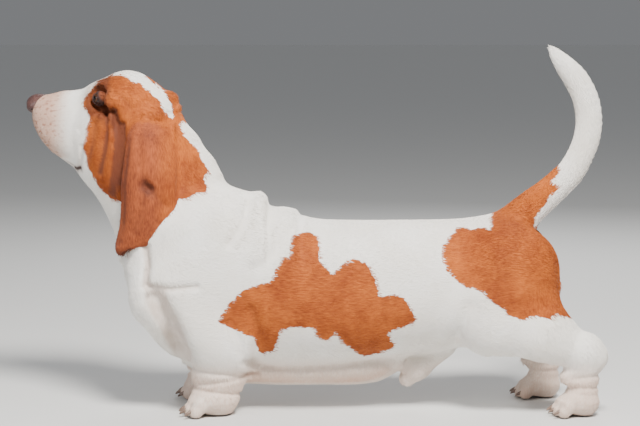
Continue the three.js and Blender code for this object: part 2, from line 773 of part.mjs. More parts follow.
// Thins a closed surface by drawing edges together, those that change its shape least
// first. Care scales the error by place, so that the head keeps more of its faces.
function thin({ points, faces }, wanted, care = () => 1) {
  const count = points.length / 3;
  const place = Float64Array.from(points);
  const quadrics = new Float64Array(count * 10);
  const around = Array.from({ length: count }, () => new Set());
  const triangles = Int32Array.from(faces);
  const faceCount = triangles.length / 3;
  const alive = new Uint8Array(faceCount).fill(1);
  const normal = (a, b, c) => {
    const [ax, ay, az] = [place[a * 3], place[a * 3 + 1], place[a * 3 + 2]];
    const [ux, uy, uz] = [place[b * 3] - ax, place[b * 3 + 1] - ay, place[b * 3 + 2] - az];
    const [wx, wy, wz] = [place[c * 3] - ax, place[c * 3 + 1] - ay, place[c * 3 + 2] - az];
    return [uy * wz - uz * wy, uz * wx - ux * wz, ux * wy - uy * wx];
  };
  for (let f = 0; f < faceCount; f += 1) {
    const corners = [triangles[f * 3], triangles[f * 3 + 1], triangles[f * 3 + 2]];
    const n = normal(...corners);
    const length = Math.hypot(...n);
    for (const v of corners) around[v].add(f);
    if (length < 1e-12) continue;
    const [a, b, c] = n.map((value) => value / length);
    const v = corners[0] * 3;
    const d = -(a * place[v] + b * place[v + 1] + c * place[v + 2]);
    const weight = (length / 2) * care(place[v], place[v + 1], place[v + 2]);
    const q = [a * a, a * b, a * c, a * d, b * b, b * c, b * d, c * c, c * d, d * d];
    for (const corner of corners) for (let i = 0; i < 10; i += 1) quadrics[corner * 10 + i] += q[i] * weight;
  }
  const error = (q, x, y, z) =>
    q[0] * x * x + q[4] * y * y + q[7] * z * z + q[9] +
    2 * (q[1] * x * y + q[2] * x * z + q[5] * y * z + q[3] * x + q[6] * y + q[8] * z);
  const stamp = new Int32Array(count);
  const heap = [];
  const push = (item) => {
    let i = heap.push(item) - 1;
    while (i > 0) {
      const parent = (i - 1) >> 1;
      if (heap[parent].cost <= item.cost) break;
      heap[i] = heap[parent];
      i = parent;
    }
    heap[i] = item;
  };
  const pop = () => {
    const top = heap[0];
    const item = heap.pop();
    const size = heap.length;
    if (size === 0) return top;
    let i = 0;
    while (2 * i + 1 < size) {
      let child = 2 * i + 1;
      if (child + 1 < size && heap[child + 1].cost < heap[child].cost) child += 1;
      if (heap[child].cost >= item.cost) break;
      heap[i] = heap[child];
      i = child;
    }
    heap[i] = item;
    return top;
  };
  const consider = (a, b) => {
    const q = new Array(10);
    for (let i = 0; i < 10; i += 1) q[i] = quadrics[a * 10 + i] + quadrics[b * 10 + i];
    const middle = [0, 1, 2].map((i) => (place[a * 3 + i] + place[b * 3 + i]) / 2);
    const choices = [middle, [0, 1, 2].map((i) => place[a * 3 + i]), [0, 1, 2].map((i) => place[b * 3 + i])];
    const m = new THREE.Matrix3().set(q[0], q[1], q[2], q[1], q[4], q[5], q[2], q[5], q[7]);
    const scale = (q[0] + q[4] + q[7]) / 3;
    if (Math.abs(m.determinant()) > 1e-3 * scale ** 3) {
      const best = new THREE.Vector3(-q[3], -q[6], -q[8]).applyMatrix3(m.invert());
      const span = Math.hypot(...[0, 1, 2].map((i) => place[a * 3 + i] - place[b * 3 + i]));
      if (Math.hypot(best.x - middle[0], best.y - middle[1], best.z - middle[2]) < span) choices.push(best.toArray());
    }
    let cost = Infinity;
    let target = middle;
    for (const choice of choices) {
      const e = error(q, ...choice);
      if (e < cost) [cost, target] = [e, choice];
    }
    const length = (place[a * 3] - place[b * 3]) ** 2 + (place[a * 3 + 1] - place[b * 3 + 1]) ** 2;
    const rise = (place[a * 3 + 2] - place[b * 3 + 2]) ** 2;
    push({ cost: cost + 1e-5 * (length + rise), a, b, target, stampA: stamp[a], stampB: stamp[b] });
  };
  const neighbours = (v) => {
    const set = new Set();
    for (const f of around[v]) for (let i = 0; i < 3; i += 1) set.add(triangles[f * 3 + i]);
    set.delete(v);
    return set;
  };
  for (let f = 0; f < faceCount; f += 1) {
    for (let i = 0; i < 3; i += 1) {
      const [a, b] = [triangles[f * 3 + i], triangles[f * 3 + ((i + 1) % 3)]];
      if (a < b) consider(a, b);
    }
  }
  let left = faceCount;
  while (left > wanted && heap.length > 0) {
    const { a, b, target, stampA, stampB } = pop();
    if (stampA !== stamp[a] || stampB !== stamp[b] || around[a].size === 0 || around[b].size === 0) continue;
    const nearA = neighbours(a);
    const nearB = neighbours(b);
    let shared = 0;
    for (const v of nearA) if (nearB.has(v)) shared += 1;
    if (shared !== 2) continue;
    const fits = (v, other) => {
      for (const f of around[v]) {
        const corners = [triangles[f * 3], triangles[f * 3 + 1], triangles[f * 3 + 2]];
        if (corners.includes(other)) continue;
        const before = normal(...corners);
        const kept = [place[v * 3], place[v * 3 + 1], place[v * 3 + 2]];
        place.set(target, v * 3);
        const after = normal(...corners);
        place.set(kept, v * 3);
        const dot = before[0] * after[0] + before[1] * after[1] + before[2] * after[2];
        if (dot < 0.25 * Math.hypot(...before) * Math.hypot(...after)) return false;
        if (Math.hypot(...after) < 1e-3) return false;
      }
      return true;
    };
    if (!fits(a, b) || !fits(b, a)) continue;
    place.set(target, a * 3);
    for (let i = 0; i < 10; i += 1) quadrics[a * 10 + i] += quadrics[b * 10 + i];
    for (const f of [...around[b]]) {
      const corners = [triangles[f * 3], triangles[f * 3 + 1], triangles[f * 3 + 2]];
      if (corners.includes(a)) {
        alive[f] = 0;
        left -= 1;
        for (const v of corners) around[v].delete(f);
      } else {
        for (let i = 0; i < 3; i += 1) if (triangles[f * 3 + i] === b) triangles[f * 3 + i] = a;
        around[a].add(f);
      }
    }
    around[b].clear();
    stamp[a] += 1;
    stamp[b] += 1;
    for (const v of neighbours(a)) consider(a, v);
  }
  const renumber = new Map();
  const outPoints = [];
  const outFaces = [];
  for (let f = 0; f < faceCount; f += 1) {
    if (!alive[f]) continue;
    for (let i = 0; i < 3; i += 1) {
      const v = triangles[f * 3 + i];
      if (!renumber.has(v)) {
        renumber.set(v, outPoints.length / 3);
        outPoints.push(place[v * 3], place[v * 3 + 1], place[v * 3 + 2]);
      }
      outFaces.push(renumber.get(v));
    }
  }
  return { points: outPoints, faces: outFaces };
}

// Solids
function solidOf({ points, faces }) {
  const mesh = new wasm.Mesh({
    numProp: 3,
    vertProperties: Float32Array.from(points),
    triVerts: Uint32Array.from(faces),
  });
  return new wasm.Manifold(mesh);
}

function solidFromGeometry(geometry) {
  const bare = new THREE.BufferGeometry();
  bare.setAttribute('position', geometry.getAttribute('position'));
  bare.setIndex(geometry.getIndex());
  const merged = mergeVertices(bare, 1e-4);
  return solidOf({ points: merged.getAttribute('position').array, faces: merged.getIndex().array });
}

// The same surface moved out by a distance, to fit other pieces against.
function grown({ points, faces }, distance) {
  const geometry = new THREE.BufferGeometry();
  geometry.setAttribute('position', new THREE.Float32BufferAttribute(points, 3));
  geometry.setIndex(faces);
  geometry.computeVertexNormals();
  const normals = geometry.getAttribute('normal').array;
  return { points: points.map((value, i) => value + normals[i] * distance), faces };
}

// A box turned about the Y axis by tilt degrees.
function box(centre, size, tilt = 0) {
  const geometry = new THREE.BoxGeometry(...size);
  geometry.rotateY(radians(tilt));
  geometry.translate(...centre);
  return solidFromGeometry(geometry);
}

// Keeps only the largest closed surface of a solid.
function largest(solid) {
  const pieces = solid.decompose();
  return pieces.reduce((best, piece) => (piece.volume() > best.volume() ? piece : best));
}

const basset = new THREE.Group();
basset.name = 'basset_hound';

const COLOURS = {
  white_coat: [0xf2ece4, 0.85],
  red_coat: [0xc8713c, 0.85],
  nose_leather: [0x6b4a44, 0.45],
  eye: [0x3a2013, 0.08],
  horn: [0x8a7364, 0.5],
};
const materials = {};
for (const [name, [color, roughness]] of Object.entries(COLOURS)) {
  materials[name] = new THREE.MeshStandardMaterial({ color, roughness, metalness: 0 });
}

function addPiece(name, solid, material) {
  const { vertProperties, triVerts, numProp } = solid.getMesh();
  const positions = new Float32Array((vertProperties.length / numProp) * 3);
  for (let i = 0; i < positions.length / 3; i += 1) {
    positions.set(vertProperties.subarray(i * numProp, i * numProp + 3), i * 3);
  }
  const geometry = new THREE.BufferGeometry();
  geometry.setAttribute('position', new THREE.BufferAttribute(positions, 3));
  geometry.setIndex(new THREE.BufferAttribute(new Uint32Array(triVerts), 1));
  geometry.computeVertexNormals();
  const mesh = new THREE.Mesh(geometry, materials[material]);
  mesh.name = name;
  basset.add(mesh);
}

// Flesh
const headCare = (x, y, z) => (x < -235 && z > 400 ? 9 : z < 50 ? 4 : 1);
const fleshSurface = thin(
  surfaceOf(
    bodyField,
    planes([
      [-520, -350, 3.9],
      [-350, -230, 5],
      [-230, -100, 6],
      [-100, 360, 10],
      [360, 520, 6],
    ]),
    planes([
      [-136, -76, 6],
      [-76, 76, 4.4],
      [76, 136, 6],
    ]),
    planes([
      [-18, 66, 4.4],
      [66, 400, 8],
      [400, 600, 4],
      [600, 642, 6],
    ]),
  ),
  BODY_FACES,
  headCare,
);
const fleshFit = solidOf(grown(fleshSurface, GAP));
let body = largest(solidOf(fleshSurface));

// Paws stand on small flats on the floor.
body = body.intersect(box([0, 0, 400], [1400, 400, 800]));

// Eyes
const eyeCentres = {};
for (const [name, side] of Object.entries(SIDES)) {
  const centre = fromHead([EYE_CENTRE[0], EYE_CENTRE[1] * side, EYE_CENTRE[2]]);
  eyeCentres[name] = centre;
  const ball = new THREE.SphereGeometry(EYE_RADIUS, 16, 10);
  ball.translate(...centre);
  addPiece(`eye_${name}`, solidFromGeometry(ball), 'eye');
  const socket = new THREE.SphereGeometry(EYE_RADIUS + GAP, 16, 10);
  socket.translate(...centre);
  body = body.subtract(solidFromGeometry(socket));
}

// Parting cuts: [name, centre, size, tilt]. Each takes what lies inside its box.
const parting = [];
for (const [name, side] of Object.entries(SIDES)) {
  const lead = HINDLEG_LEAD[name];
  parting.push([`forepaw_${name}`, [-190, side * 89, 20], [190, 104, 44], 0, 'white_coat']);
  parting.push([`foreleg_${name}`, [-185, side * 92, 56], [160, 98, 116], 0, 'white_coat']);
  parting.push([`hindpaw_${name}`, [450 + lead, side * 85, 20], [170, 164, 44], 0, 'white_coat']);
  parting.push([`hindleg_${name}`, [474 + lead, side * 100, 82], [120, 134, 172], 0, 'white_coat']);
  parting.push([`thigh_${name}`, [335 + lead * 0.4, side * 105, 128], [250, 150, 240], -20, 'red_coat']);
}
parting.push(['tail_tip', [470, 0, 560], [170, 120, 240], -25, 'white_coat']);
parting.push(['tail_base', [440, 0, 400], [150, 120, 180], 40, 'red_coat']);
parting.push(['head', [-420, 0, 560], [420, 320, 260], 33, 'white_coat']);
parting.push(['neck', [-280, 0, 420], [290, 320, 260], 22, 'red_coat']);
parting.push(['rump', [400, 0, 240], [324, 300, 300], 0, 'red_coat']);
parting.push(['torso', [0, 0, 300], [1400, 400, 800], 0, 'white_coat']);
for (const [name, centre, size, tilt, material] of parting) {
  const inside = box(centre, size, tilt);
  const outside = box(centre, size.map((value) => value + 2 * GAP), tilt);
  addPiece(name, largest(body.intersect(inside)), material);
  body = body.subtract(outside);
}

// Nose
// Broad leather that stands out over the lips, with a nostril either side and a slit that
// runs back from each.
const noseParts = flesh([
  [muscle([-493, 0, 533], [23, 20, 17]), 1],
  [muscle([-495, 12, 527], [17, 10, 12]), 6],
]);
function noseField(x, y, z) {
  const v = Math.abs(y);
  let d = noseParts(x, v, z);
  d = carve(d, muscle([-513, 9, 528], [9, 4.6, 4.6])(x, v, z), 1.5);
  d = carve(d, limb([-510, 10, 527], [-494, 23, 522], 2.8, 1.8)(x, v, z), 1);
  return d + 1.6 * Math.exp(-((v / 1.6) ** 2)) * (x < -500 ? 1 : 0);
}
const noseGrid = (from, to) => planes([[from, to, 1.8]]);
const noseSurface = thin(surfaceOf(noseField, noseGrid(-520, -462), noseGrid(-29, 29), noseGrid(510, 556)), NOSE_FACES);
const turnToRoom = ({ points, faces }) => {
  const turned = [];
  for (let i = 0; i < points.length; i += 3) turned.push(...fromHead([points[i], points[i + 1], points[i + 2]]));
  return { points: turned, faces };
};
addPiece('nose', largest(solidOf(turnToRoom(noseSurface)).subtract(fleshFit)), 'nose_leather');

// Ears
const earSurface = thin(
  surfaceOf(earField, planes([[-356, -208, 3.2]]), planes([[10, 106, 2.6]]), planes([[260, 522, 4]])),
  EAR_FACES,
);
for (const [name, side] of Object.entries(SIDES)) {
  const points = earSurface.points.map((value, i) => (i % 3 === 1 ? value * side : value));
  const faces = side < 0 ? [...earSurface.faces].reverse() : earSurface.faces;
  addPiece(`ear_${name}`, largest(solidOf(turnToRoom({ points, faces })).subtract(fleshFit)), 'red_coat');
}

// Claws
// A short curved horn at the end of each toe, clear of the floor, and a dewclaw inside
// each wrist.
function claw(root, heading, side, size) {
  const forward = new THREE.Vector3(-Math.cos(heading), Math.sin(heading) * side, 0);
  const start = new THREE.Vector3(...root);
  const rings = 4;
  const sides = 6;
  const geometry = new THREE.BufferGeometry();
  const positions = [];
  for (let i = 0; i <= rings; i += 1) {
    const t = i / rings;
    const middle = start.clone().addScaledVector(forward, size * t);
    middle.z -= size * 0.38 * t * t;
    const radius = size * 0.31 * Math.sqrt(1 - t * 0.85);
    for (let j = 0; j < sides; j += 1) {
      const angle = (2 * Math.PI * j) / sides;
      const across = new THREE.Vector3(-forward.y, forward.x, 0).multiplyScalar(Math.cos(angle) * radius * 0.8);
      positions.push(...middle.clone().add(across).toArray());
      positions[positions.length - 1] += Math.sin(angle) * radius;
    }
  }
  const faces = [];
  for (let i = 0; i < rings; i += 1) {
    for (let j = 0; j < sides; j += 1) {
      const [a, b] = [i * sides + j, i * sides + ((j + 1) % sides)];
      faces.push(a, b, b + sides, a, b + sides, a + sides);
    }
  }
  for (let j = 2; j < sides; j += 1) {
    faces.push(0, j, j - 1);
    const end = rings * sides;
    faces.push(end, end + j - 1, end + j);
  }
  geometry.setAttribute('position', new THREE.Float32BufferAttribute(positions, 3));
  geometry.setIndex(faces);
  const solid = solidFromGeometry(geometry);
  return solid.volume() > 0 ? solid : solidFromGeometry(geometry.setIndex([...faces].reverse()));
}

for (const [end, paws, size] of [
  ['fore', forePaws, 15.5],
  ['hind', hindPaws, 13.5],
]) {
  for (const [name, side] of Object.entries(SIDES)) {
    paws[name].forEach(({ tip, heading, radius }, i) => {
      const root = [tip[0] - Math.cos(heading) * radius * 0.45, tip[1] + Math.sin(heading) * side * radius * 0.45, 13];
      addPiece(`claw_${end}_${name}_${i + 1}`, largest(claw(root, heading, side, size).subtract(fleshFit)), 'horn');
    });
  }
}
for (const [name, side] of Object.entries(SIDES)) {
  const root = [-190 + FORELEG_LEAD[name], side * 34, 40];
  const solid = claw(root, radians(-20), side, 13).subtract(fleshFit);
  addPiece(`dewclaw_${name}`, largest(solid), 'horn');
}

export default basset;
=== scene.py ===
import math

import bpy
import numpy as np
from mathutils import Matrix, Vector


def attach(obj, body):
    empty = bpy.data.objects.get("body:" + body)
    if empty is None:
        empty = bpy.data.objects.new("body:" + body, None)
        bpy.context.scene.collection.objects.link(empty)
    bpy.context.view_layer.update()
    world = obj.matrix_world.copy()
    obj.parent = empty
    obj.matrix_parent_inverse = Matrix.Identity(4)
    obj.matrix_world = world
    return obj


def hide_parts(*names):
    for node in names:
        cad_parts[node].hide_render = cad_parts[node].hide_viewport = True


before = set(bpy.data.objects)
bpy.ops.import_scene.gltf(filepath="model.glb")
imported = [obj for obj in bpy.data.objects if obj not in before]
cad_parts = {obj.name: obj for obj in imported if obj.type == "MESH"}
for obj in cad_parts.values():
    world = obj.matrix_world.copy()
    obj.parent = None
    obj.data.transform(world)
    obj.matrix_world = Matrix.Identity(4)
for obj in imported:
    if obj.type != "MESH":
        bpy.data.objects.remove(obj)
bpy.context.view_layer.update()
MM = 0.001

# Camera. The photograph was taken from the animal's left, a little above its back, with a
# long lens. Photo places below are pixels of a picture 640 wide and 426 high.
PHOTO_SIZE = (640, 426)
CAMERA_AIM = Vector((0.0044, 0.0, 0.343))
CAMERA_DISTANCE = 3.3
CAMERA_RISE = math.radians(6.0)
LENS_PIXELS = 1886.0
SENSOR = 36.0
look = Vector((0.0, math.cos(CAMERA_RISE), -math.sin(CAMERA_RISE)))
camera_place = CAMERA_AIM - look * CAMERA_DISTANCE


def placed(name, data):
    """A new object at the origin."""
    made = bpy.data.objects.new(name, data)
    bpy.context.collection.objects.link(made)
    return made


camera_data = bpy.data.cameras.new("photo_camera")
camera_data.sensor_width = SENSOR
camera_data.lens = LENS_PIXELS * SENSOR / PHOTO_SIZE[0]
camera = placed("photo_camera", camera_data)
camera.location = camera_place
camera.rotation_euler = look.to_track_quat("-Z", "Y").to_euler()
bpy.context.scene.camera = camera


def photo_place(x, y, z):
    """Where points of the room, in millimetres, fall in the photograph, in pixels."""
    dx = x * MM - camera_place.x
    dy = y * MM - camera_place.y
    dz = z * MM - camera_place.z
    depth = dy * look.y + dz * look.z
    rise = dz * math.cos(CAMERA_RISE) + dy * math.sin(CAMERA_RISE)
    u = PHOTO_SIZE[0] / 2 + LENS_PIXELS * dx / depth
    v = PHOTO_SIZE[1] / 2 - LENS_PIXELS * rise / depth
    return u, v


# Skin. The real one is loose on a long, low body, and hangs in folds at the throat, chest,
# ankles and belly. It is drawn as a field in millimetres, negative inside the flesh: round
# limbs and muscles on the joints of a skeleton, run into one another, with creases pressed
# in. The surface a coat's depth inside its zero is then meshed as one closed skin.
def limb(p, a, b, ra, rb, flat=1.0):
    """A round-ended limb from a to b; a flat below 1 narrows it across the animal."""
    a = np.array(a, float)
    d = np.array(b, float) - a
    d[1] /= flat
    q = [p[0] - a[0], (p[1] - a[1]) / flat, p[2] - a[2]]
    t = np.clip((q[0] * d[0] + q[1] * d[1] + q[2] * d[2]) / (d @ d), 0, 1)
    reach = np.sqrt(sum((q[i] - t * d[i]) ** 2 for i in range(3)))
    return (reach - ra - (rb - ra) * t) * min(1.0, flat)


def egg(p, centre, radii, pitch=0.0):
    """An egg-shaped muscle whose long axis is tipped by pitch in side view."""
    c, s = math.cos(math.radians(pitch)), math.sin(math.radians(pitch))
    dx, dz = p[0] - centre[0], p[2] - centre[2]
    q = [(dx * c - dz * s) / radii[0], (p[1] - centre[1]) / radii[1], (dx * s + dz * c) / radii[2]]
    reach = np.sqrt(sum(v * v for v in q))
    slope = np.sqrt(sum((v / r) ** 2 for v, r in zip(q, radii))) + 1e-9
    return reach * (reach - 1) / slope


def curve(pairs, at):
    """A smooth curve through a few (place, value) pairs."""
    xs = np.array([p[0] for p in pairs], float)
    ys = np.array([p[1] for p in pairs], float)
    low = np.maximum(np.arange(len(xs)) - 1, 0)
    high = np.minimum(np.arange(len(xs)) + 1, len(xs) - 1)
    slope = (ys[high] - ys[low]) / (xs[high] - xs[low])
    at = np.clip(at, xs[0], xs[-1])
    i = np.clip(np.searchsorted(xs, at, side="right"), 1, len(xs) - 1)
    span = xs[i] - xs[i - 1]
    t = (at - xs[i - 1]) / span
    u = 1 - t
    ends = ys[i - 1] * u * u * (1 + 2 * t) + ys[i] * t * t * (3 - 2 * t)
    return ends + (slope[i - 1] * u - slope[i] * t) * span * t * u


def mass(p, top, bottom, breadth, angle=0.0, keel=0.0, square=2.2):
    """A long mass from its outline in side view and its breadth, along a sloping axis."""
    c, s = math.cos(math.radians(angle)), math.sin(math.radians(angle))
    along, up = p[0] * c + p[2] * s, p[2] * c - p[0] * s
    first, last = breadth[0][0], breadth[-1][0]
    place = np.clip(along, first, last)
    high, low = curve(top, place), curve(bottom, place)
    half = (high - low) / 2
    q = (up - (high + low) / 2) / half
    width = curve(breadth, place) * (1 - keel * np.clip(-q, 0, 1) ** 2)
    r = np.abs(p[1] / width)
    q = np.abs(q)
    reach = np.maximum((q**square + r**square) ** (1 / square), 0.05)
    steep = np.sqrt((q ** (square - 1) / half) ** 2 + (r ** (square - 1) / width) ** 2)
    distance = (reach - 1) * reach ** (square - 1) / np.maximum(steep, 1e-6)
    distance = np.maximum(distance, -np.minimum(half, width))
    return np.maximum(distance, np.maximum(first - along, along - last))


def soften(a, b, blend):
    """The soft join of two fields."""
    near = np.maximum(blend - np.abs(a - b), 0)
    return np.minimum(a, b) - near * near / (4 * blend)


def carve(d, tool, blend):
    return -soften(-d, tool, blend)


def flesh(p, parts, box=None):
    """Joins (field, blend) pairs in order, worked out only near the box that they fill."""
    near = np.ones(p[0].shape, bool)
    away = np.full(p[0].shape, 60.0)
    if box:
        past = [np.maximum(np.maximum(box[2 * i] - p[i], p[i] - box[2 * i + 1]), 0) for i in range(3)]
        away = np.sqrt(sum(v**2 for v in past))
        near = away < 45
        away = np.maximum(away, 40.0)
    q = [v[near] for v in p]
    d = np.full(q[0].shape, 1e3)
    for field, blend in parts:
        d = soften(d, field(q), blend)
    away[near] = d
    return away


def bone(blend, *shape):
    """A limb and how softly it joins the parts before it."""
    return lambda p: limb(p, *shape), blend


def muscle(blend, *shape):
    """An egg and how softly it joins the parts before it."""
    return lambda p: egg(p, *shape), blend


def line_distance(points, x, z):
    """Distances of places from a line of straight runs."""
    least = np.full(x.shape, 1e9)
    for (ax, az), (bx, bz) in zip(points, points[1:]):
        dx, dz = bx - ax, bz - az
        t = np.clip(((x - ax) * dx + (z - az) * dz) / (dx * dx + dz * dz), 0, 1)
        least = np.minimum(least, np.hypot(x - ax - t * dx, z - az - t * dz))
    return least


def creases(folds, x, z):
    """How deep folds of (points, width, depth), drawn in side view, press in."""
    total = np.zeros(x.shape)
    for points, width, depth in folds:
        px, pz = [p[0] for p in points], [p[1] for p in points]
        reach = 2.5 * width
        near = (x > min(px) - reach) & (x < max(px) + reach) & (z > min(pz) - reach) & (z < max(pz) + reach)
        total[near] += depth * np.exp(-((line_distance(points, x[near], z[near]) / width) ** 2))
    return total


TRUNK_TOP = [
    (-338, 270), (-318, 318), (-280, 348), (-215, 368), (-150, 376), (-122, 378), (-104, 381),
    (-92, 374), (-84, 357), (-42, 350), (-28, 339), (18, 331), (197, 331), (250, 333), (300, 338),
    (340, 334), (375, 306), (400, 266), (424, 225),
]
TRUNK_BOTTOM = [
    (-338, 232), (-326, 196), (-308, 152), (-284, 116), (-250, 88), (-200, 70), (-120, 66), (-40, 68),
    (60, 74), (144, 88), (232, 104), (300, 108), (360, 120), (400, 160), (424, 205),
]
TRUNK_BREADTH = [
    (-338, 22), (-326, 52), (-300, 80), (-250, 102), (-190, 112), (-90, 119), (10, 122), (110, 114),
    (190, 101), (250, 94), (310, 96), (360, 86), (400, 62), (424, 18),
]
FLAP_TOP = [(-235, 100), (0, 120), (150, 110)]
FLAP_BOTTOM = [(-235, 78), (-190, 52), (-125, 41), (0, 39), (100, 43), (150, 66)]
FLAP_BREADTH = [(-235, 12), (-180, 40), (-60, 58), (60, 56), (120, 40), (150, 14)]
NECK_BACK = [
    (-520, -246), (-498, -226), (-479, -209), (-458, -196), (-439, -181), (-415, -168), (-392, -156),
    (-375, -130), (-330, -118), (-270, -150),
]
NECK_FRONT = [
    (-520, -330), (-470, -392), (-440, -412), (-415, -411), (-397, -402), (-378, -390), (-357, -378),
    (-331, -365), (-300, -353), (-270, -345),
]
NECK_BREADTH = [
    (-520, 36), (-498, 54), (-470, 60), (-439, 62), (-400, 68), (-360, 78), (-320, 88), (-270, 70),
]


def trunk(p):
    d = mass(p, TRUNK_TOP, TRUNK_BOTTOM, TRUNK_BREADTH, keel=0.22, square=2.35)
    d = soften(d, mass(p, FLAP_TOP, FLAP_BOTTOM, FLAP_BREADTH, keel=0.3), 16)
    middle = (176, 0, 70)
    sheath = soften(limb(p, (228, 0, 104), middle, 15, 21), limb(p, middle, (158, 0, 50), 21, 15), 14)
    return soften(d, sheath, 10)


def toes(centre, side, turn, length, spread, radius):
    """Four toes fanned from a paw: the root, knuckle, tip and heading of each."""
    made = []
    for i in range(4):
        offset = i - 1.5
        heading = math.radians(turn + offset * spread)
        ahead = length - 3.2 * offset * offset
        cx, cy = math.cos(heading), math.sin(heading) * side
        places = []
        joints = ((0.3, 9, centre[2] + 6), (0.74, 11, radius * 1.55), (1.0, 12, radius * 0.86))
        for reach, aside, height in joints:
            place_x = centre[0] - cx * ahead * reach
            place_y = centre[1] + cy * ahead * reach + side * offset * aside
            places.append((place_x, place_y, height))
        made.append((*places, heading, side, radius))
    return made


def paw(centre, fan, size):
    """Parts of a paw: its middle, its toes and the pad behind them."""
    parts = [muscle(12, centre, size)]
    for root, knuckle, tip, _, _, radius in fan:
        parts.append(bone(7, root, knuckle, radius * 1.05, radius))
        parts.append(bone(5, knuckle, tip, radius, radius * 0.95))
    heel = (centre[0] + size[0] * 0.35, centre[1], 14)
    parts.append(muscle(8, heel, (size[0] * 0.5, size[1] * 0.72, 13.5)))
    return parts


SIDES = {"left": -1, "right": 1}
FORELEG_LEAD = {"left": 0, "right": -17}
HINDLEG_LEAD = {"left": -6, "right": -54}
paw_toes = {}


def foreleg(side, lead, foot, fan):
    wrist = (-172 + lead, side * 63, 62)
    low = (-176 + lead, side * 67, 32)
    elbow = (-170 + lead * 0.6, side * 80, 128)
    return [
        bone(1, (-165, side * 58, 322), (-268, side * 56, 205), 40, 50, 0.8),
        bone(30, (-268, side * 62, 200), (-172, side * 80, 128), 50, 44, 0.8),
        muscle(20, (-136, side * 82, 112), (26, 22, 30)),
        bone(24, elbow, wrist, 45, 42, 0.82),
        bone(18, wrist, low, 42, 36, 0.86),
    ] + paw(foot, fan, (42, 36, 23))


def hindleg(side, lead, foot, fan):
    hock = (466 + lead, side * 80, 110)
    return [
        bone(1, (338, side * 52, 248), (302, side * 66, 176), 80, 62, 0.72),
        bone(30, (306, side * 70, 160), (390 + lead * 0.6, side * 76, 146), 56, 46, 0.78),
        bone(22, (364 + lead * 0.5, side * 62, 204), (394 + lead * 0.7, side * 74, 150), 50, 38, 0.8),
        bone(24, (396 + lead * 0.7, side * 77, 136), hock, 42, 31, 0.86),
        bone(14, hock, (487 + lead, side * 80, 102), 28, 19),
        bone(14, hock, (462 + lead, side * 79, 34), 30, 27, 0.92),
        muscle(14, (440 + lead, side * 80, 66), (20, 20, 12)),
    ] + paw(foot, fan, (36, 31, 21))


HALF_BREADTH = 130
limbs = []
for name, side in SIDES.items():
    breadth = (min(0, side * HALF_BREADTH), max(0, side * HALF_BREADTH))
    fore_lead, hind_lead = FORELEG_LEAD[name], HINDLEG_LEAD[name]
    fore_foot = (-180 + fore_lead, side * 72, 25)
    hind_foot = (456 + hind_lead, side * 79, 22)
    paw_toes["fore", name] = toes(fore_foot, side, 14, 40, 11, 13)
    paw_toes["hind", name] = toes(hind_foot, side, 4, 36, 9, 12)
    fore_parts = foreleg(side, fore_lead, fore_foot, paw_toes["fore", name])
    hind_parts = hindleg(side, hind_lead, hind_foot, paw_toes["hind", name])
    limbs.append((fore_parts, (-330, -105, *breadth, -5, 375)))
    limbs.append((hind_parts, (232, 515, *breadth, -5, 335)))

# The tail, as (x, z, radius) from root to tip, with a smooth curve run through its joints.
TAIL_LINE = [
    (330, 306, 36), (353, 333, 33), (376, 355, 29), (401, 376, 26), (425, 398, 24.5), (443, 417, 23.5),
    (459, 446, 22.5), (469, 475, 22.5), (472, 507, 22.5), (466, 542, 22), (451, 573, 21),
    (434, 595, 18), (417, 615, 12), (408, 626, 6.5),
]
tail_ends = [TAIL_LINE[0], *TAIL_LINE, TAIL_LINE[-1]]
tail_curve = []
for around in zip(tail_ends, tail_ends[1:], tail_ends[2:], tail_ends[3:]):
    before, start, end, after = np.array(around, float)
    for t in (0, 1 / 3, 2 / 3):
        early = (2 * before - 5 * start + 4 * end - after) * t * t
        late = (3 * start - before - 3 * end + after) * t**3
        tail_curve.append(start + 0.5 * ((end - before) * t + (early + late)))
tail_curve.append(np.array(TAIL_LINE[-1], float))
tail_parts = [
    bone(1.5, (a[0], 0, a[1]), (b[0], 0, b[1]), a[2], b[2], 0.92)
    for a, b in zip(tail_curve, tail_curve[1:])
]

# The head is drawn facing -X, the same on both sides, and turned on the neck by its yaw.
HEAD_YAW = math.radians(10)
HEAD_PIVOT = -262.0


def to_head(x, y):
    dx = x - HEAD_PIVOT
    c, s = math.cos(HEAD_YAW), math.sin(HEAD_YAW)
    return HEAD_PIVOT + dx * c - y * s, dx * s + y * c


def from_head(x, y):
    dx = x - HEAD_PIVOT
    c, s = math.cos(HEAD_YAW), math.sin(HEAD_YAW)
    return HEAD_PIVOT + dx * c + y * s, -dx * s + y * c


SKULL_TOP = [
    (-500, 541), (-490, 546), (-468, 551), (-450, 555.5), (-425, 557.5), (-410, 561), (-398, 568),
    (-386, 574), (-372, 579.5), (-354, 587.5), (-337, 591.5), (-320, 590), (-306, 585), (-289, 575),
    (-270, 561), (-254, 548), (-242, 530),
]
SKULL_BOTTOM = [
    (-500, 523), (-490, 510), (-470, 497), (-440, 482), (-400, 462), (-350, 450), (-300, 455),
    (-262, 480), (-242, 512),
]
SKULL_BREADTH = [
    (-500, 15), (-490, 22), (-468, 27), (-440, 30), (-415, 36), (-397, 45), (-376, 54), (-345, 60),
    (-310, 60), (-280, 53), (-256, 38), (-242, 14),
]
LIPS_TOP = [(-503, 524), (-497, 533), (-480, 540), (-440, 542), (-400, 535), (-380, 520)]
LIPS_BOTTOM = [
    (-503, 514), (-500, 499), (-495, 486), (-488, 473), (-478, 459), (-466, 448.5), (-450, 439.5),
    (-436, 432), (-418, 425), (-398, 424), (-380, 432),
]
LIPS_BREADTH = [
    (-503, 9), (-499, 22), (-490, 31), (-470, 38), (-445, 42), (-420, 46), (-400, 48), (-380, 44),
]
